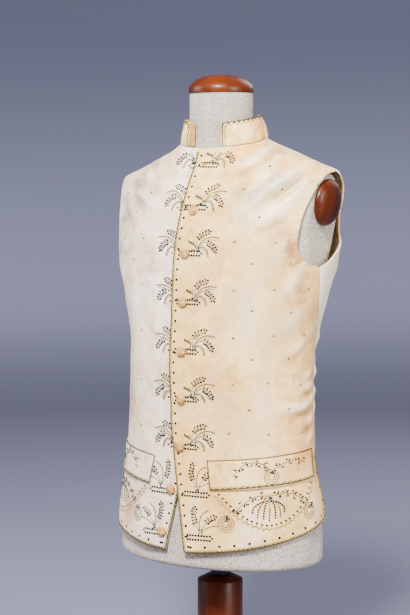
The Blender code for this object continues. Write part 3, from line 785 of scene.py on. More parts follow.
class WAISTCOAT_OT_stand(bpy.types.Operator):
    """Wooden caps, column, base and the steel socket"""
    bl_idname = "waistcoat.stand"
    bl_label = "Stand"

    def execute(self, context):
        low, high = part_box("neck_cap")
        radius = (high[0] - low[0]) / 2 / MM
        place = Matrix.Translation(((low[0] + high[0]) / 2, (low[1] + high[1]) / 2, low[2]))
        cap = dome(radius, (high[2] - low[2]) / MM, 24, 5.0)
        sharp(finish_piece("neck_cap_wood", spun(cap, 96, place), "wood", ["neck_cap"]))
        for name, side in (("left", 1), ("right", -1)):
            low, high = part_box("arm_cap_" + name)
            place = (Matrix.Translation((side * (ARM_PLATE + 0.35) * MM, (low[1] + high[1]) / 2,
                                         (FORM_FLOOR + PLATE_MIDDLE) * MM))
                     @ Matrix.Rotation(side * (math.pi / 2 + PLATE_LEAN), 4, "Y"))
            cap = dome((high[1] - low[1]) / 2 / MM, 16, 20, 2.0)
            sharp(finish_piece("arm_cap_wood_" + name, spun(cap, 72, place), "wood",
                               ["arm_cap_" + name]))
        low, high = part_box("stand_column")
        radius = high[0] / MM
        top, foot = high[2] / MM, low[2] / MM
        column = [(0, foot), (radius - 0.8, foot), (radius, foot + 0.8), (radius, top - 9.4),
                  (radius - 0.4, top - 8.6), (radius - 1.2, top - 8.0), (19.4, top - 0.6),
                  (18.4, top), (0, top)]
        sharp(finish_piece("column_wood", spun(column, 96), "wood", ["stand_column"]), 30)
        low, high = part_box("stand_base")
        radius, top = high[0] / MM, high[2] / MM
        base = [(0, 0), (radius - 3, 0), (radius - 0.8, 1.0), (radius, 3.5), (radius, 12.0)]
        base += [(radius - 7 + 7 * math.cos(a), 12 + 6 * math.sin(a)) for a in np.linspace(0.2, 1.45, 7)]
        base += [(radius - 12, 18.4), (radius - 14, 20.6), (radius - 18, 21.2), (70, top - 1.2),
                 (46, top - 0.6), (40, top), (0, top)]
        sharp(finish_piece("base_wood", spun(base, 128), "wood", ["stand_base"]), 30)
        low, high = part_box("stand_socket")
        foot, top = low[2] / MM, high[2] / MM
        socket = [(0, foot), (14.2, foot), (15, foot + 0.8)]
        for ring in range(8):
            z = foot + 1.6 + ring * 2.4
            socket += [(15, z), (13.8, z + 0.6), (13.8, z + 1.4), (15, z + 2.0)]
        socket += [(15, top - 5.2), (23.2, top - 5.0), (24, top - 4.2), (24, top - 0.8),
                   (23.4, top), (0, top)]
        sharp(finish_piece("socket_steel", spun(socket, 72), "steel", ["stand_socket"]), 30)
        return {"FINISHED"}


class WAISTCOAT_OT_fronts(bpy.types.Operator):
    """Both fronts with the strip that pieces out the left one"""
    bl_idname = "waistcoat.fronts"
    bl_label = "Fronts"

    def execute(self, context):
        sides = the_sides()
        whole, uncut = edge(SIDE_SEAM, FRONT_ARMHOLE), edge(SIDE_SEAM, RIGHT_ARMHOLE)
        foot = PIECING_SEAM[0][0]
        below = tuple(row for row in FRONT_ARMHOLE if row[0] <= foot)
        pieced = edge(SIDE_SEAM, below, PIECING_SEAM)

        def right_edge(t):
            return front_edge(t, RIGHT_NECKLINE)

        for name, inner, outer in (("left", front_edge, pieced), ("right", right_edge, uncut)):
            piece = cloth_piece("front_satin_" + name, sides[name], 110, 200,
                                ruled_place(sides[name], inner, outer), "satin_" + name, WALL,
                                ["front_" + name])

        def strip_inner(t):
            turn, rise = edge(PIECING_SEAM)(t)
            return turn + 0.45 * (1 - t) / (1 - foot), rise - 0.5 * (t - foot) / (1 - foot)

        def strip_outer(t):
            turn, rise = whole(t)
            return turn + 0.8 * (1 - t) / (1 - foot), rise

        place = ruled_place(sides["left"], strip_inner, strip_outer, t_low=foot)
        strip = cloth_piece("shoulder_strip_satin", sides["left"], 16, 20, place, "satin_left",
                            WALL, ["front_left_piecing"])
        return {"FINISHED"}


class WAISTCOAT_OT_backs(bpy.types.Operator):
    """Both halves of the back, with the lining seen inside the armholes"""
    bl_idname = "waistcoat.backs"
    bl_label = "Backs"

    def execute(self, context):
        depth = context.scene.waistcoat_cloth.fold_depth
        for name, mirrored in (("left", False), ("right", True)):
            side = Side(mirrored, BACK_FOLDS, depth)
            piece = cloth_piece("back_cloth_" + name, side, 70, 130, ruled_place(side, back_side, back_inner),
                                "back", WALL, ["back_" + name])
            place = ruled_place(side, back_side, back_inner, FACING_LOW, FACING_HIGH, FACING_REACH,
                                LINING_OUT)
            facing = cloth_piece("armhole_lining_" + name, side, 14, 60, place, "lining",
                                 LINING_WALL, ["armhole_facing_" + name])
        return {"FINISHED"}


class WAISTCOAT_OT_linings(bpy.types.Operator):
    """Edge of lining that shows under each front's hem"""
    bl_idname = "waistcoat.linings"
    bl_label = "Skirt linings"

    def execute(self, context):
        def lowered(run, turn):
            """The edge moved in by a turn and, at the hem, down so that the lining shows."""
            def at(t):
                return run(t)[0] + turn, run(t)[1] - 1.5 * max(0.0, 1 - t / LINING_TOP)
            return at

        for name, side in the_sides().items():
            place = ruled_place(side, lowered(front_edge, 1.0), lowered(edge(SIDE_SEAM), -1.0),
                                t_high=LINING_TOP, out=LINING_OUT)
            piece = cloth_piece("skirt_lining_cloth_" + name, side, 90, 6, place, "lining",
                                LINING_WALL, ["skirt_lining_" + name])
        return {"FINISHED"}


def neckline_rise(signed):
    """Rise of the neckline at a signed turn from the centre front."""
    found = []
    for front in (FRONT_NECKLINE, RIGHT_NECKLINE):
        rows = np.array([row[1:] for row in front + BACK_NECKLINE[::-1][1:]], float)
        found.append(np.interp(abs(signed), rows[:, 0], rows[:, 1]))
    return np.where(signed < 0, found[1], found[0])


class Collar:
    """Where a place on the standing collar comes to lie: turn round the neck, height above the neckline."""
    ends = COLLAR[0][0]

    def signed(self, turn):
        """The turn counted from the centre front, under 0 on the wearer's right."""
        turn = np.asarray(turn, float)
        return np.where(turn > 180, turn - 360, turn)

    def height(self, turn):
        """Full height of the band and how far it leans in at its top."""
        signed = self.signed(turn)
        rows = np.where(np.expand_dims(signed, -1) < 0, smooth_rows(RIGHT_COLLAR, abs(signed)),
                        smooth_rows(COLLAR, abs(signed)))
        return rows[..., 0], rows[..., 1]

    def at(self, turn, height, out=0.0):
        turn, height = np.asarray(turn, float), np.asarray(height, float)
        signed = self.signed(turn)
        around = abs(signed)
        base = neckline_rise(signed)
        full, lean = self.height(turn)
        share = np.clip(height / full, 0, 1.05)
        ring = on_section(COAT, signed, base)
        inward = -unit((ring - (0, 4.0, 0)) * (1, 1, 0))
        steep = np.where(signed < 0, 1 - 0.4 * np.clip((180 - around) / 60, 0, 1), 1)
        pull = lean * (share**steep - 0.12 * np.sin(math.pi * share)) - out
        pull -= 1.5 * np.clip((signed + self.ends) / 5, 0, 1) * (signed < 0)
        pull -= self.crumple(signed, around, share)
        level = base + 0.7 + height + sway(ring[..., 0], base)
        ring = ring + inward * np.expand_dims(pull, -1)
        ring[..., 2] = level + FORM_FLOOR
        return ring * MM

    def crumple(self, signed, around, share):
        """Limp folds: the right end curls outwards in an S, and the left half sags in broad creases."""
        near = np.exp(-((around - self.ends) / 16) ** 2)
        curl = near * (2.4 * np.sin(share * 7.0 - 0.6) + 1.6)
        middle = np.sin(math.pi * np.clip(share, 0, 1))
        sag = 2.0 * middle * np.sin(np.radians(around) * 9.0 + share * 3.2)
        sag += 2.0 * np.exp(-(((around - 62) - 30 * (share - 0.5)) / 7) ** 2) * middle
        sag -= 1.6 * np.exp(-(((around - 44) + 26 * (share - 0.6)) / 6) ** 2) * middle
        fade = np.clip((around - 10) / 10, 0, 1)
        return np.where(signed < 0, curl * share**0.5 * (around > self.ends - 1) + sag * 0.5, sag) * fade

    def normals(self, turn, height):
        round_it = self.at(turn + 0.6, height) - self.at(turn - 0.6, height)
        up_it = self.at(turn, height + 0.6) - self.at(turn, height - 0.6)
        return unit(np.cross(round_it, up_it))


class WAISTCOAT_OT_collar(bpy.types.Operator):
    """Standing collar and its lining"""
    bl_idname = "waistcoat.collar"
    bl_label = "Collar"

    def execute(self, context):
        collar = Collar()
        for name, out, wall, key, slot, node in (
                ("collar_satin", 0.0, WALL, "satin_left", "cream_satin", "collar"),
                ("collar_lining_cloth", COLLAR_LINING_OUT, LINING_WALL, "lining", "brown_lining",
                 "collar_lining")):
            past = 360 - (RIGHT_COLLAR[0][0] if key == "lining" else collar.ends)

            def place(s, t):
                turn = collar.ends + s * (past - collar.ends)
                full = collar.height(turn)[0]
                height = t * full - (0.6 * t if key == "lining" else 0)
                return collar.at(turn, height, out), np.stack([s * 0.36, height * MM + 0.6], axis=1)
            piece = finish_piece(name, cloth_grid(150, 18, place), key, [node])
            add_wall(piece, wall)
        return {"FINISHED"}


class WAISTCOAT_OT_flaps(bpy.types.Operator):
    """Pocket flap on each front"""
    bl_idname = "waistcoat.flaps"
    bl_label = "Pocket flaps"

    def execute(self, context):
        for name, side in the_sides().items():
            place = ruled_place(side, flap_edge("front_low", "front_top"), flap_edge("back_low", "back_top"),
                                out=FLAP_OUT)
            piece = cloth_piece("flap_satin_" + name, side, 70, 18, place, "satin_" + name,
                                WALL, ["pocket_flap_" + name])
        return {"FINISHED"}


class WAISTCOAT_OT_buttons(bpy.types.Operator):
    """Silk-covered buttons, six fastened and two open"""
    bl_idname = "waistcoat.buttons"
    bl_label = "Buttons"

    def execute(self, context):
        for number in range(1, 9):
            node = f"button_{number}"
            low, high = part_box(node)
            centre = (Vector(low) + Vector(high)) / 2
            rise = centre.z / MM - FORM_FLOOR
            turn = math.degrees(math.asin(centre.x / MM / smooth_rows(COAT, rise)[0]))
            normal = Vector(outward(np.array(turn), np.array(rise)))
            radius = (high[0] - low[0]) / 2 / MM
            place = (Matrix.Translation(centre - normal * 3.4 * MM)
                     @ normal.to_track_quat("Z", "Y").to_matrix().to_4x4())
            profile = [(0, 0), (radius - 2.2, 0), (radius - 0.6, 0.8), (radius - 0.1, 1.9), (radius, 2.6)]
            for i in range(1, 13):
                angle = math.pi / 2 * i / 12
                profile.append((radius * math.cos(angle), 2.6 + 3.9 * math.sin(angle)))
            profile[-1] = (0, 6.5)
            bm = spun(profile, 48)
            self.wind(bm, radius)
            bmesh.ops.transform(bm, matrix=place, verts=bm.verts)
            finish_piece(f"silk_button_{number}", bm, "button", [node])
        return {"FINISHED"}

    def wind(self, bm, radius):
        """Silk wound in four quarters gives the dome low radial welts and a dimple at its crown."""
        for vert in bm.verts:
            x, y, z = vert.co / MM
            reach = math.hypot(x, y) / radius
            if z > 1.5:
                quarter = abs(math.sin(2 * math.atan2(y, x)))
                vert.co.z += MM * (0.45 * (quarter - 0.5) * reach * (1.15 - reach) * 3
                                   - 0.5 * math.exp(-(reach / 0.16) ** 2))


# ---------------------------------------------------------------- embroidery

class Needle:
    """Collects stitches and beads by colour, then lays them all on the cloth."""
    highest = 636.0  # a stitch above this rise would hang off the neckline

    def __init__(self, surface, out=0.0):
        self.surface, self.out, self.laid = surface, out, {}

    def stitch(self, key, start, end, width, height=0.5):
        if max(start[1], end[1]) < self.highest:
            self.laid.setdefault(key, []).append((*start, *end, width, height))

    def bead(self, key, place, size, height=0.6):
        """A round stitch."""
        half = size / 2
        self.stitch(key, (place[0] - half, place[1]), (place[0] + half, place[1]), size, height)

    def run(self, key, points, width, length=2.6, height=0.5):
        """Short stitches end to end along a smooth line through the points."""
        line = curve_through(points, length)
        for start, end in zip(line, line[1:]):
            self.stitch(key, start, end, width, height)
        return line

    def finish(self, name):
        """One piece for each colour, every stitch a low rounded grain on the cloth."""
        for key, rows in self.laid.items():
            rows = np.array(rows)
            first = self.surface.at(rows[:, 0], rows[:, 1], self.out)
            last = self.surface.at(rows[:, 2], rows[:, 3], self.out)
            normal = self.surface.normals((rows[:, 0] + rows[:, 2]) / 2, (rows[:, 1] + rows[:, 3]) / 2)
            bm = bmesh.new()
            for a, b, n, width, height in zip(first, last, normal, rows[:, 4], rows[:, 5]):
                along, n = Vector(b) - Vector(a), Vector(n)
                length = along.length * 0.56
                along.normalize()
                aside = n.cross(along).normalized()
                up = along.cross(aside).normalized()
                centre = (Vector(a) + Vector(b)) / 2 + up * height * MM * 0.35
                basis = Matrix((along * length, aside * width * MM / 2, up * height * MM)).transposed()
                bmesh.ops.create_icosphere(bm, subdivisions=1, radius=1.0,
                                           matrix=Matrix.Translation(centre) @ basis.to_4x4())
            bmesh.ops.recalc_face_normals(bm, faces=bm.faces)
            finish_piece(f"{name}_{key}", bm, key)


def curve_through(points, step):
    """Points about `step` apart on a smooth curve through the given ones."""
    points = np.array(points, float)
    if len(points) < 3:
        dense = np.linspace(points[0], points[-1], 12)
    else:
        knots = np.concatenate([[0], np.cumsum(np.linalg.norm(np.diff(points, axis=0), axis=1))])
        table = np.column_stack([knots, points])
        tangents = np.gradient(points, knots, axis=0)
        fine = np.linspace(0, knots[-1], 12 * len(points))
        i = np.clip(np.searchsorted(knots, fine, side="right") - 1, 0, len(knots) - 2)
        width = (knots[i + 1] - knots[i])[:, None]
        s = (fine - knots[i])[:, None] / width
        dense = (table[i, 1:] * (2 * s**3 - 3 * s**2 + 1) + tangents[i] * width * (s**3 - 2 * s**2 + s)
                 + table[i + 1, 1:] * (3 * s**2 - 2 * s**3) + tangents[i + 1] * width * (s**3 - s**2))
    lengths = np.concatenate([[0], np.cumsum(np.linalg.norm(np.diff(dense, axis=0), axis=1))])
    count = max(1, round(lengths[-1] / step))
    marks = np.linspace(0, lengths[-1], count + 1)
    return np.stack([np.interp(marks, lengths, dense[:, k]) for k in range(2)], axis=1)


def moved(points, origin, scale=1.0):
    return [(origin[0] + x * scale, origin[1] + y * scale) for x, y in points]


def steps_along(line):
    """Each step of a line: its ends, its direction and the direction to the left of it."""
    for here, there in zip(line, line[1:]):
        run = unit(np.array(there - here, float))
        yield here, there, run, np.array((-run[1], run[0]))


def berry_spray(needle, line, rng, share, spacing=4.4, reach=3.1):
    """Berries in pairs on short stalks along the outer part of a stem."""
    size = bpy.context.scene.waistcoat_embroidery.bead / MM
    start = int(len(line) * (1 - share))
    tail = curve_through(line[max(start - 1, 0):], spacing)
    for here, _, run, left in steps_along(tail):
        for side in (-1, 1):
            tip = here + run * 1.2 + left * side * reach * rng.uniform(0.8, 1.15)
            needle.stitch("blue", here, here + (tip - here) * 0.6, 0.9, 0.25)
            needle.bead("bead", tip, size * rng.uniform(0.85, 1.1))
    needle.bead("bead", tail[-1], size)


def feather(needle, line, rng, key, reach, share=0.5):
    """Short slanting stitches that fringe the outer part of a frond, longer on its lower side."""
    start = int(len(line) * (1 - share))
    for here, _, run, left in steps_along(line[start:]):
        for side in (0.45, -1.0):
            tip = here + run * reach * 0.7 + left * side * reach * rng.uniform(0.6, 1.0)
            needle.stitch(key, here, tip, 0.9, 0.3)


def islet(needle, left, right, level, rng, open_end=False):
    """A long ring of black beads, two rows deep, that stands for ground under the plant."""
    for x in np.arange(left, right + 0.1, 4.5):
        for up in (3.1, -3.1):
            needle.bead("bead", (x, level + up + rng.uniform(-0.2, 0.2)), 4.1)
    needle.bead("bead", (right + 2.6, level + 0.2), 3.9)
    if not open_end:
        needle.bead("bead", (left - 3.6, level + 0.1), 3.9)
    for x in np.arange(left + 1, right - 1, 3.6):
        key = "white" if rng.random() < 0.7 else "blue"
        needle.stitch(key, (x, level + 0.4), (x + 3.0, level + 0.2), 1.2, 0.3)


def knot(needle, place, rng, wide, high):
    """A tuft of slate-blue and black stitches where the stems meet."""
    for i in range(18):
        x, y = rng.uniform(-0.5, 0.5) * wide, rng.uniform(-0.5, 0.5) * high
        key = ("blue", "bead", "bead", "blue", "bead", "white")[i % 6]
        upper, lower = (place[0] + x * 0.5, place[1] + y + 1.4), (place[0] + x, place[1] + y - 1.8)
        needle.stitch(key, upper, lower, 1.7, 0.7)


def spreading_palm(needle, origin, rng, visible_from):
    """The plant beside each button: an islet, a knot and stems that arch away from the edge."""
    wide = bpy.context.scene.waistcoat_embroidery.thread / MM
    shift = origin[0]
    islet(needle, visible_from, shift + 29, origin[1], rng, open_end=visible_from < 0)
    knot(needle, (shift + 23, origin[1] + 6), rng, 11, 10)
    base = (shift + 23, origin[1] + 9)
    wobble = rng.uniform(-1.2, 1.2)
    up = needle.run("blue", moved([(0, 0), (-1, 8), (4, 17 + wobble), (21, 24)], base), 1.5)
    berry_spray(needle, up, rng, 0.6)
    frond = needle.run("olive", moved([(1, 0), (9, 10), (22, 16 + wobble), (36, 14)], base), wide)
    feather(needle, frond, rng, "gold", 3.4)
    needle.run("gold", moved([(2, -1), (10, 7), (22, 12 + wobble), (31, 11)], base), wide * 0.7)
    out = needle.run("blue", moved([(2, -1), (12, 7), (24, 5 + wobble), (32, -7)], base), 1.5)
    berry_spray(needle, out, rng, 0.5)
    drooping = needle.run("olive", moved([(2, -3), (10, 1), (17, -4), (20, -14)], base), wide)
    feather(needle, drooping, rng, "olive", 3.2)
    needle.run("gold", moved([(2, -4), (10, -1), (15, -6), (17, -13)], base), wide * 0.6)
    for i in range(5):
        here = (base[0] - 3 - 2.6 * i, base[1] + 3.5 + 1.1 * i)
        needle.stitch("bead", here, (here[0] - 2.4, here[1] + 2.4), 2.1)
        needle.stitch("bead", here, (here[0] - 2.8, here[1] - 1.4), 2.1)
    for tip in ((-5, 12), (-2, 13), (-8, 9)):
        needle.run("gold" if tip[0] != -2 else "white", moved([(-1, 0), tip], base), 1.6)
    for i in range(9):
        x = -4 - 1.6 * i
        needle.stitch("gold" if i % 2 else "olive", (base[0] + x, base[1] - 2 - 0.5 * i),
                      (base[0] + x - 2.4, base[1] - 5 - 0.8 * i), 2.0, 0.4)


def upright_palm(needle, base, rng, reach):
    """The plant of the skirts: a straight fan of stems on a long islet."""
    wide = bpy.context.scene.waistcoat_embroidery.thread / MM
    islet(needle, base[0] - 20, base[0] + 17, base[1] - 10, rng)
    knot(needle, (base[0], base[1] - 2), rng, 9, 9)
    tall = needle.run("blue", moved([(-1, 0), (-9, 12), (-13, 24), (-11, 38)], base, reach), 1.5)
    berry_spray(needle, tall, rng, 0.6)
    frond = needle.run("olive", moved([(0, 0), (-2, 14), (2, 27), (12, 34)], base, reach), wide * 0.85)
    feather(needle, frond, rng, "gold", 2.8)
    low = needle.run("blue", moved([(1, 0), (8, 12), (15, 20), (25, 24)], base, reach), 1.5)
    berry_spray(needle, low, rng, 0.5)
    side = needle.run("olive", moved([(1, 0), (10, 5), (20, 9), (30, 10)], base, reach), wide * 0.75)
    feather(needle, side, rng, "gold", 2.4)


def medallion(needle, centre, radius, rng, squash=1.0):
    """A coiled shell: rings of stitches and dots, with a dark tuft at its mouth."""
    for share, key, size in ((1.0, "olive", 2.5), (0.70, "bead", 2.2), (0.42, "olive", 2.2)):
        count = max(8, int(2 * math.pi * radius * share / 2.9))
        for i in range(count):
            angle = 2 * math.pi * i / count
            here = np.array((math.cos(angle) * squash, math.sin(angle))) * radius * share + centre
            there = np.array((math.cos(angle + 4.6 / count) * squash, math.sin(angle + 4.6 / count)))
            needle.stitch(key if i % 3 else "cord", here, there * radius * share + centre, size, 0.4)
    for i in range(12):
        x, y = rng.uniform(-0.2, 0.5), rng.uniform(0.35, 0.95)
        key = "bead" if i % 2 else "blue"
        needle.bead(key, (centre[0] + x * radius * squash, centre[1] + y * radius), 2.9)


def leafy_twig(needle, points, rng, leaf=5.4):
    """A thin stem with black slips of leaf and clusters of tiny berries."""
    needle.run("olive", points, 1.8, 2.4)
    for i, (here, _, run, left) in enumerate(steps_along(curve_through(points, 7.5))):
        aside = left * (1 if i % 2 else -1)
        tip = here + run * leaf * 0.7 + aside * leaf
        if i % 2:
            needle.stitch("bead", here + aside * 0.6, tip, 3.0, 0.5)
        for k in range(4):
            dot = here + run * rng.uniform(1, 6) - aside * rng.uniform(2.0, 5.6)
            needle.bead("olive" if k == 1 else "bead", dot, 2.5)


def tassel(needle, top, rng):
    """Seven strands that fan down from a knot, black beads and olive silk by turns."""
    knot(needle, top, rng, 9, 8)
    for i, spread in enumerate((-25, -17, -8, 1, 10, 18, 25)):
        drop = 33 - 0.016 * spread * spread
        path = [(0, 0), (spread * 0.62, -6), (spread * 0.95, -drop * 0.55), (spread, -drop)]
        line = curve_through(moved(path, top), 3.9)
        for here, there in zip(line[1:], line[2:]):
            if i % 2 == 0:
                if there[1] < top[1] - 5:
                    needle.bead("bead", here, 3.5)
                else:
                    needle.stitch("blue", here, there, 1.7)
            else:
                needle.stitch("olive", here, there, 1.7 if here[1] > top[1] - 9 else 3.2)
    for x in (-4, 0, 4):
        needle.run("bead", moved([(0, 1), (x, 8)], top), 1.6)


def swag(needle, points, rng):
    """A gold stem in short slanting stitches with a black spangle beside every leaf."""
    for i, (here, there, run, left) in enumerate(steps_along(curve_through(points, 4.2))):
        aside = left * (1 if i % 2 else -1)
        needle.stitch("gold", here, there, 2.0, 0.4)
        needle.stitch("gold", here, here + run * 2.0 + aside * 3.6, 2.3, 0.4)
        if i % 2:
            needle.bead("bead", here + aside * 5.4 + run * rng.uniform(0, 1), 3.8)


def sprig(needle, place, rng):
    """A tiny powdered sprig of three petals."""
    lean = rng.uniform(-0.5, 0.5)
    for i, angle in enumerate((0.5, 1.7, 2.9)):
        tip = (place[0] + 3.0 * math.cos(angle + lean), place[1] + 3.0 * math.sin(angle + lean))
        needle.stitch(("gold", "olive", "gold")[i], place, tip, 2.4, 0.5)
    if rng.random() < 0.4:
        needle.bead("cord", place, 2.4)


def on_cloth(turn, rise):
    """A turn and a rise as a place on the flat cloth, in across and rise."""
    return float(FLAT.across(np.array(float(turn)), np.array(float(rise)))), rise


def edge_points(run, t_low, t_high, count):
    """Places along a cutting edge, in across and rise."""
    return [on_cloth(*run(t)) for t in np.linspace(t_low, t_high, count)]


def bordered(needle, points, inward, rng, spangles=15.5, offset=8.4, scallop=6.6):
    """Cord on the edge, gold scallops inside it and a row of black spangles inside those."""
    for here, there, _, left in steps_along(curve_through(points, 2.3)):
        aside = -left * inward
        needle.stitch("cord", here + aside * 0.2, there + aside * 1.2, 2.5, 1.0)
    for here, there, run, left in steps_along(curve_through(points, scallop)):
        aside = -left * inward
        span = np.linalg.norm(there - here)
        bow = [here + aside * 1.6, here + run * span * 0.3 + aside * 3.9,
               here + run * span * 0.7 + aside * 4.1, there + aside * 1.6]
        for a, b in zip(bow, bow[1:]):
            needle.stitch("gold", a, b, 1.9, 0.4)
        needle.stitch("olive", here + aside * 2.0, here + run * span * 0.5 + aside * 2.2, 1.2, 0.35)
    if spangles:
        for here, there, _, left in steps_along(curve_through(points, spangles)):
            aside = -left * inward
            needle.bead("bead", (here + there) / 2 + aside * (offset + rng.uniform(-0.4, 0.4)), 4.7)


PALM_RISES = (616, 552, 484, 411, 337, 265, 193)
# Sprigs are powdered in rows: steps along a row and up to the next, and how far the cloth is plain.
SPRIG_STEP, SPRIG_ROW, SPRIG_ROWS = 58.0, 58.0 * 0.62, (216, 612)
PLAIN_SIDE = (
    # rise, turn of the plain cloth's side
    (200, 104), (345, 98), (414, 82), (464, 72), (490, 54), (540, 54), (600, 62),
)


def inside_front(across, rise):
    """Whether a sprig at this place has plain cloth all round it."""
    if not 66 < across or not 196 < rise < 612:
        return False
    side_limit = on_cloth(np.interp(rise, *zip(*PLAIN_SIDE)), rise)[0]
    return across < side_limit - 10


class WAISTCOAT_OT_embroidery(bpy.types.Operator):
    """Palms, powdered sprigs, skirt borders and edges in silk and beads"""
    bl_idname = "waistcoat.embroidery"
    bl_label = "Embroidery"

    def execute(self, context):
        for seed, (name, side) in enumerate(the_sides().items()):
            rng = random.Random(17 + seed)
            self.front(name, side, rng)
            self.flap(name, side, rng)
        self.collar_edge(random.Random(5))
        return {"FINISHED"}

    def front(self, name, side, rng):
        left = name == "left"
        needle = Needle(side)
        for rise in PALM_RISES:
            start = -8 if rise < 600 else 2
            spreading_palm(needle, (0 if left else -8, rise), rng, start if left else 14)
        for base in ((34, 133), (43, 69)):
            upright_palm(needle, base, rng, 0.95)
        tassel(needle, (146, 119), rng)
        medallion(needle, np.array((82, 82)), 12, rng)
        medallion(needle, np.array((216, 97)), 12, rng, 0.85)
        leafy_twig(needle, [(143, 124), (128, 124), (112, 116), (92, 97)], rng)
        leafy_twig(needle, [(150, 124), (172, 127), (194, 120), (210, 108)], rng)
        swag(needle, [(62, 124), (80, 108), (110, 86), (148, 75), (182, 84), (206, 104), (227, 138)], rng)
        for row, rise in enumerate(np.arange(*SPRIG_ROWS, SPRIG_ROW)):
            for k in range(5):
                across = 84 + SPRIG_STEP * (k + (0.5 if row % 2 else 0)) + rng.uniform(-4, 4)
                place = (across, rise + rng.uniform(-4, 4))
                if inside_front(*place):
                    sprig(needle, place, rng)
        bordered(needle, edge_points(front_edge, 0.0, 0.798, 60), 1, rng)
        neck = edge_points(front_edge, 0.803, 0.868, 8)
        bordered(needle, neck, 1, rng, spangles=0)
        hem = []
        for s in np.linspace(0, 1, 30):
            a, b = np.array(front_edge(0.0)), np.array(edge(SIDE_SEAM)(0.0))
            fall = s**ROW_BEND
            hem.append(on_cloth(a[0] * (1 - s) + b[0] * s, a[1] * (1 - fall) + b[1] * fall))
        corner = edge_points(edge(SIDE_SEAM), 0.004, 0.16, 24)
        bordered(needle, hem + corner, -1, rng, spangles=23.0, offset=8.5)
        needle.finish(f"front_{name}")

    def flap(self, name, side, rng):
        needle = Needle(side, FLAP_OUT)
        corners = {key: on_cloth(*corner) for key, corner in FLAP.items()}

        def between(first, last):
            return [tuple(p) for p in np.linspace(corners[first], corners[last], 10)]

        for first, last in (("front_top", "back_top"), ("front_low", "front_top"), ("back_top", "back_low")):
            line = curve_through(between(first, last), 2.3)
            for here, there in zip(line, line[1:]):
                needle.stitch("cord", here, there, 2.5, 0.9)
        bordered(needle, between("front_low", "back_low"), -1, rng, spangles=0, scallop=9.0)
        medallion(needle, np.array((146, 152)), 11, rng)
        leafy_twig(needle, [(143, 163), (128, 172), (108, 172), (88, 152)], rng, 4.0)
        leafy_twig(needle, [(150, 164), (166, 172), (184, 175), (202, 170)], rng, 4.0)
        needle.finish(f"flap_{name}")

    def collar_edge(self, rng):
        collar = Collar()
        needle = Needle(collar)
        first, last = collar.ends + 1.2, 360 - collar.ends - 1.2

        def top(turn):
            return float(collar.height(turn)[0]) - 0.4
        runs = [[(turn, top(turn)) for turn in np.linspace(first, last, 150)],
                [(first, h) for h in np.linspace(1.0, top(first), 14)],
                [(last, h) for h in np.linspace(1.0, top(last), 14)]]
        for points in runs:
            for here, there in zip(points, points[1:]):
                needle.stitch("cord", here, there, 2.4, 1.0)
        # Scallops on the collar, where a degree of turn is about 1.1 mm of cloth.
        for a, b in zip(runs[0][::3], runs[0][3::3]):
            middle = ((a[0] + b[0]) / 2, a[1] - 5.4)
            needle.stitch("gold", (a[0], a[1] - 1.4), middle, 1.7, 0.4)
            needle.stitch("gold", middle, (b[0], b[1] - 1.4), 1.7, 0.4)
            needle.bead("cord", (a[0], a[1] - 1.8), 2.4)
        for points, way in ((runs[1], 1), (runs[2], -1)):
            for a, b in zip(points[::2], points[2::2]):
                middle = (a[0] + way * 4.4, (a[1] + b[1]) / 2)
                needle.stitch("gold", (a[0] + way, a[1]), middle, 1.7, 0.4)
                needle.stitch("gold", middle, (b[0] + way, b[1]), 1.7, 0.4)
        needle.finish("collar")


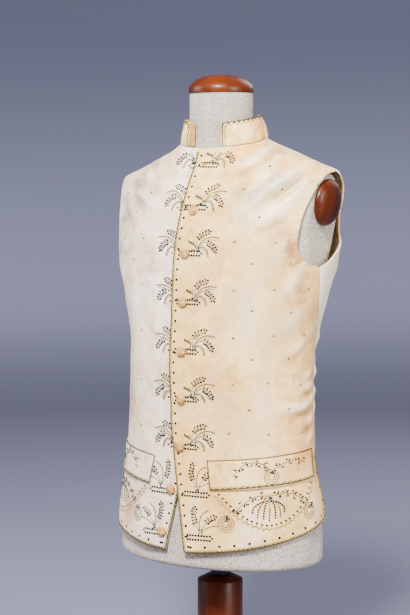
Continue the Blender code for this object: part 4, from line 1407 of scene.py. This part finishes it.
class WAISTCOAT_OT_stage(bpy.types.Operator):
    """Pale floor that curves up all round, soft lights and the camera"""
    bl_idname = "waistcoat.stage"
    bl_label = "Stage"

    def execute(self, context):
        settings = context.scene.waistcoat_stage
        flat, bend, wall_top = 3600, 1400, 2400
        profile = [(0.001, 0), (1000, 0), (3000, 0)]
        profile += [(flat + bend * math.sin(a), bend - bend * math.cos(a)) for a in np.linspace(0, 1.57, 14)]
        profile += [(flat + bend, wall_top)]
        bm = spun(profile, 96)
        bmesh.ops.reverse_faces(bm, faces=bm.faces)
        # Matt paper with painted light falloff: painted brightest a little above the floor, with painted
        # shade towards the top of the wall.
        material, tree, shader = start_material("matt_paper_painted_falloff", 0.95)
        place = add_node(tree, "ShaderNodeTexCoord").outputs["Object"]
        split = add_node(tree, "ShaderNodeSeparateXYZ", [(0, place)])
        level = add_node(tree, "ShaderNodeMapRange", [("Value", split.outputs[2]), ("From Max", 2.0)])
        painted_falloff_ramp = add_node(tree, "ShaderNodeValToRGB", [("Fac", level.outputs[0])])
        painted_falloff_ramp.color_ramp.interpolation = "EASE"
        painted_falloff_ramp.color_ramp.elements.new(0.17)
        for i, (position, share) in enumerate(((0.0, 0.44), (0.17, 0.82), (0.78, 0.40))):
            element = painted_falloff_ramp.color_ramp.elements[i]
            element.position = position
            element.color = tuple(c * share for c in settings.backdrop) + (1.0,)
        tree.links.new(painted_falloff_ramp.outputs[0], shader.inputs["Base Color"])
        mesh = bpy.data.meshes.new("floor")
        bm.to_mesh(mesh)
        bm.free()
        mesh.materials.append(material)
        mesh.shade_smooth()
        floor = bpy.data.objects.new("floor", mesh)
        context.scene.collection.objects.link(floor)
        world = bpy.data.worlds.new("studio")
        world.use_nodes = True
        background = world.node_tree.nodes["Background"]
        background.inputs["Color"].default_value = (1.0, 0.98, 0.96, 1.0)
        background.inputs["Strength"].default_value = 0.32
        context.scene.world = world
        for name, place, size, share in (("key", (0.7, -1.9, 2.4), 0.55, 1.0),
                                         ("left_fill", (-2.3, -1.3, 1.5), 1.3, 0.24),
                                         ("right_fill", (2.7, -0.5, 1.3), 1.2, 0.34),
                                         ("rim", (0.2, 2.5, 2.2), 1.6, 0.14)):
            self.softbox(name, place, size, settings.key_power * share)
        self.camera(context)
        return {"FINISHED"}

    def softbox(self, name, place, size, power):
        """A square light turned to the chest."""
        light = bpy.data.lights.new(name, "AREA")
        light.energy = power
        light.size = size
        lamp = bpy.data.objects.new(name, light)
        lamp.location = place
        lamp.rotation_euler = (Vector((0, 0, 0.65)) - Vector(place)).to_track_quat("-Z", "Y").to_euler()
        bpy.context.scene.collection.objects.link(lamp)

    def camera(self, context):
        """Eye level with the upper chest, 2.6 m off, to the wearer's left of the middle."""
        azimuth, pitch, aside = math.radians(33.0), math.radians(4.5), math.radians(0.52)
        distance, height = 2.63, 0.6023
        camera = bpy.data.cameras.new("camera")
        camera.lens = 99.3
        eye = bpy.data.objects.new("camera", camera)
        eye.location = (distance * math.sin(azimuth), -distance * math.cos(azimuth),
                        height + FORM_FLOOR * MM)
        eye.rotation_euler = (math.pi / 2 - pitch, 0, azimuth + aside)
        context.scene.collection.objects.link(eye)
        context.scene.camera = eye


class WAISTCOAT_PT_panel(bpy.types.Panel):
    """Waistcoat pieces and settings"""
    bl_idname = "WAISTCOAT_PT_panel"
    bl_label = "Waistcoat"
    bl_space_type = "VIEW_3D"
    bl_region_type = "UI"
    bl_category = "Waistcoat"

    def draw(self, context):
        scene = context.scene
        for group in (scene.waistcoat_cloth, scene.waistcoat_form, scene.waistcoat_embroidery,
                      scene.waistcoat_stage):
            box = self.layout.box()
            for name in group.__annotations__:
                box.prop(group, name)
        for operator in OPERATORS:
            self.layout.operator(operator.bl_idname)


GROUPS = {"waistcoat_cloth": ClothSettings, "waistcoat_form": FormSettings,
          "waistcoat_embroidery": EmbroiderySettings, "waistcoat_stage": StageSettings}
OPERATORS = (WAISTCOAT_OT_form, WAISTCOAT_OT_stand, WAISTCOAT_OT_fronts, WAISTCOAT_OT_backs,
             WAISTCOAT_OT_linings, WAISTCOAT_OT_collar, WAISTCOAT_OT_flaps, WAISTCOAT_OT_buttons,
             WAISTCOAT_OT_embroidery, WAISTCOAT_OT_stage)


def register():
    for cls in (*GROUPS.values(), *OPERATORS, WAISTCOAT_PT_panel):
        bpy.utils.register_class(cls)
    for name, cls in GROUPS.items():
        setattr(bpy.types.Scene, name, PointerProperty(type=cls))


def unregister():
    for name in GROUPS:
        delattr(bpy.types.Scene, name)
    for cls in reversed((*GROUPS.values(), *OPERATORS, WAISTCOAT_PT_panel)):
        bpy.utils.unregister_class(cls)


def main():
    register()
    for operator in OPERATORS:
        group, name = operator.bl_idname.split(".")
        getattr(getattr(bpy.ops, group), name)()


if __name__ == "__main__":
    main()
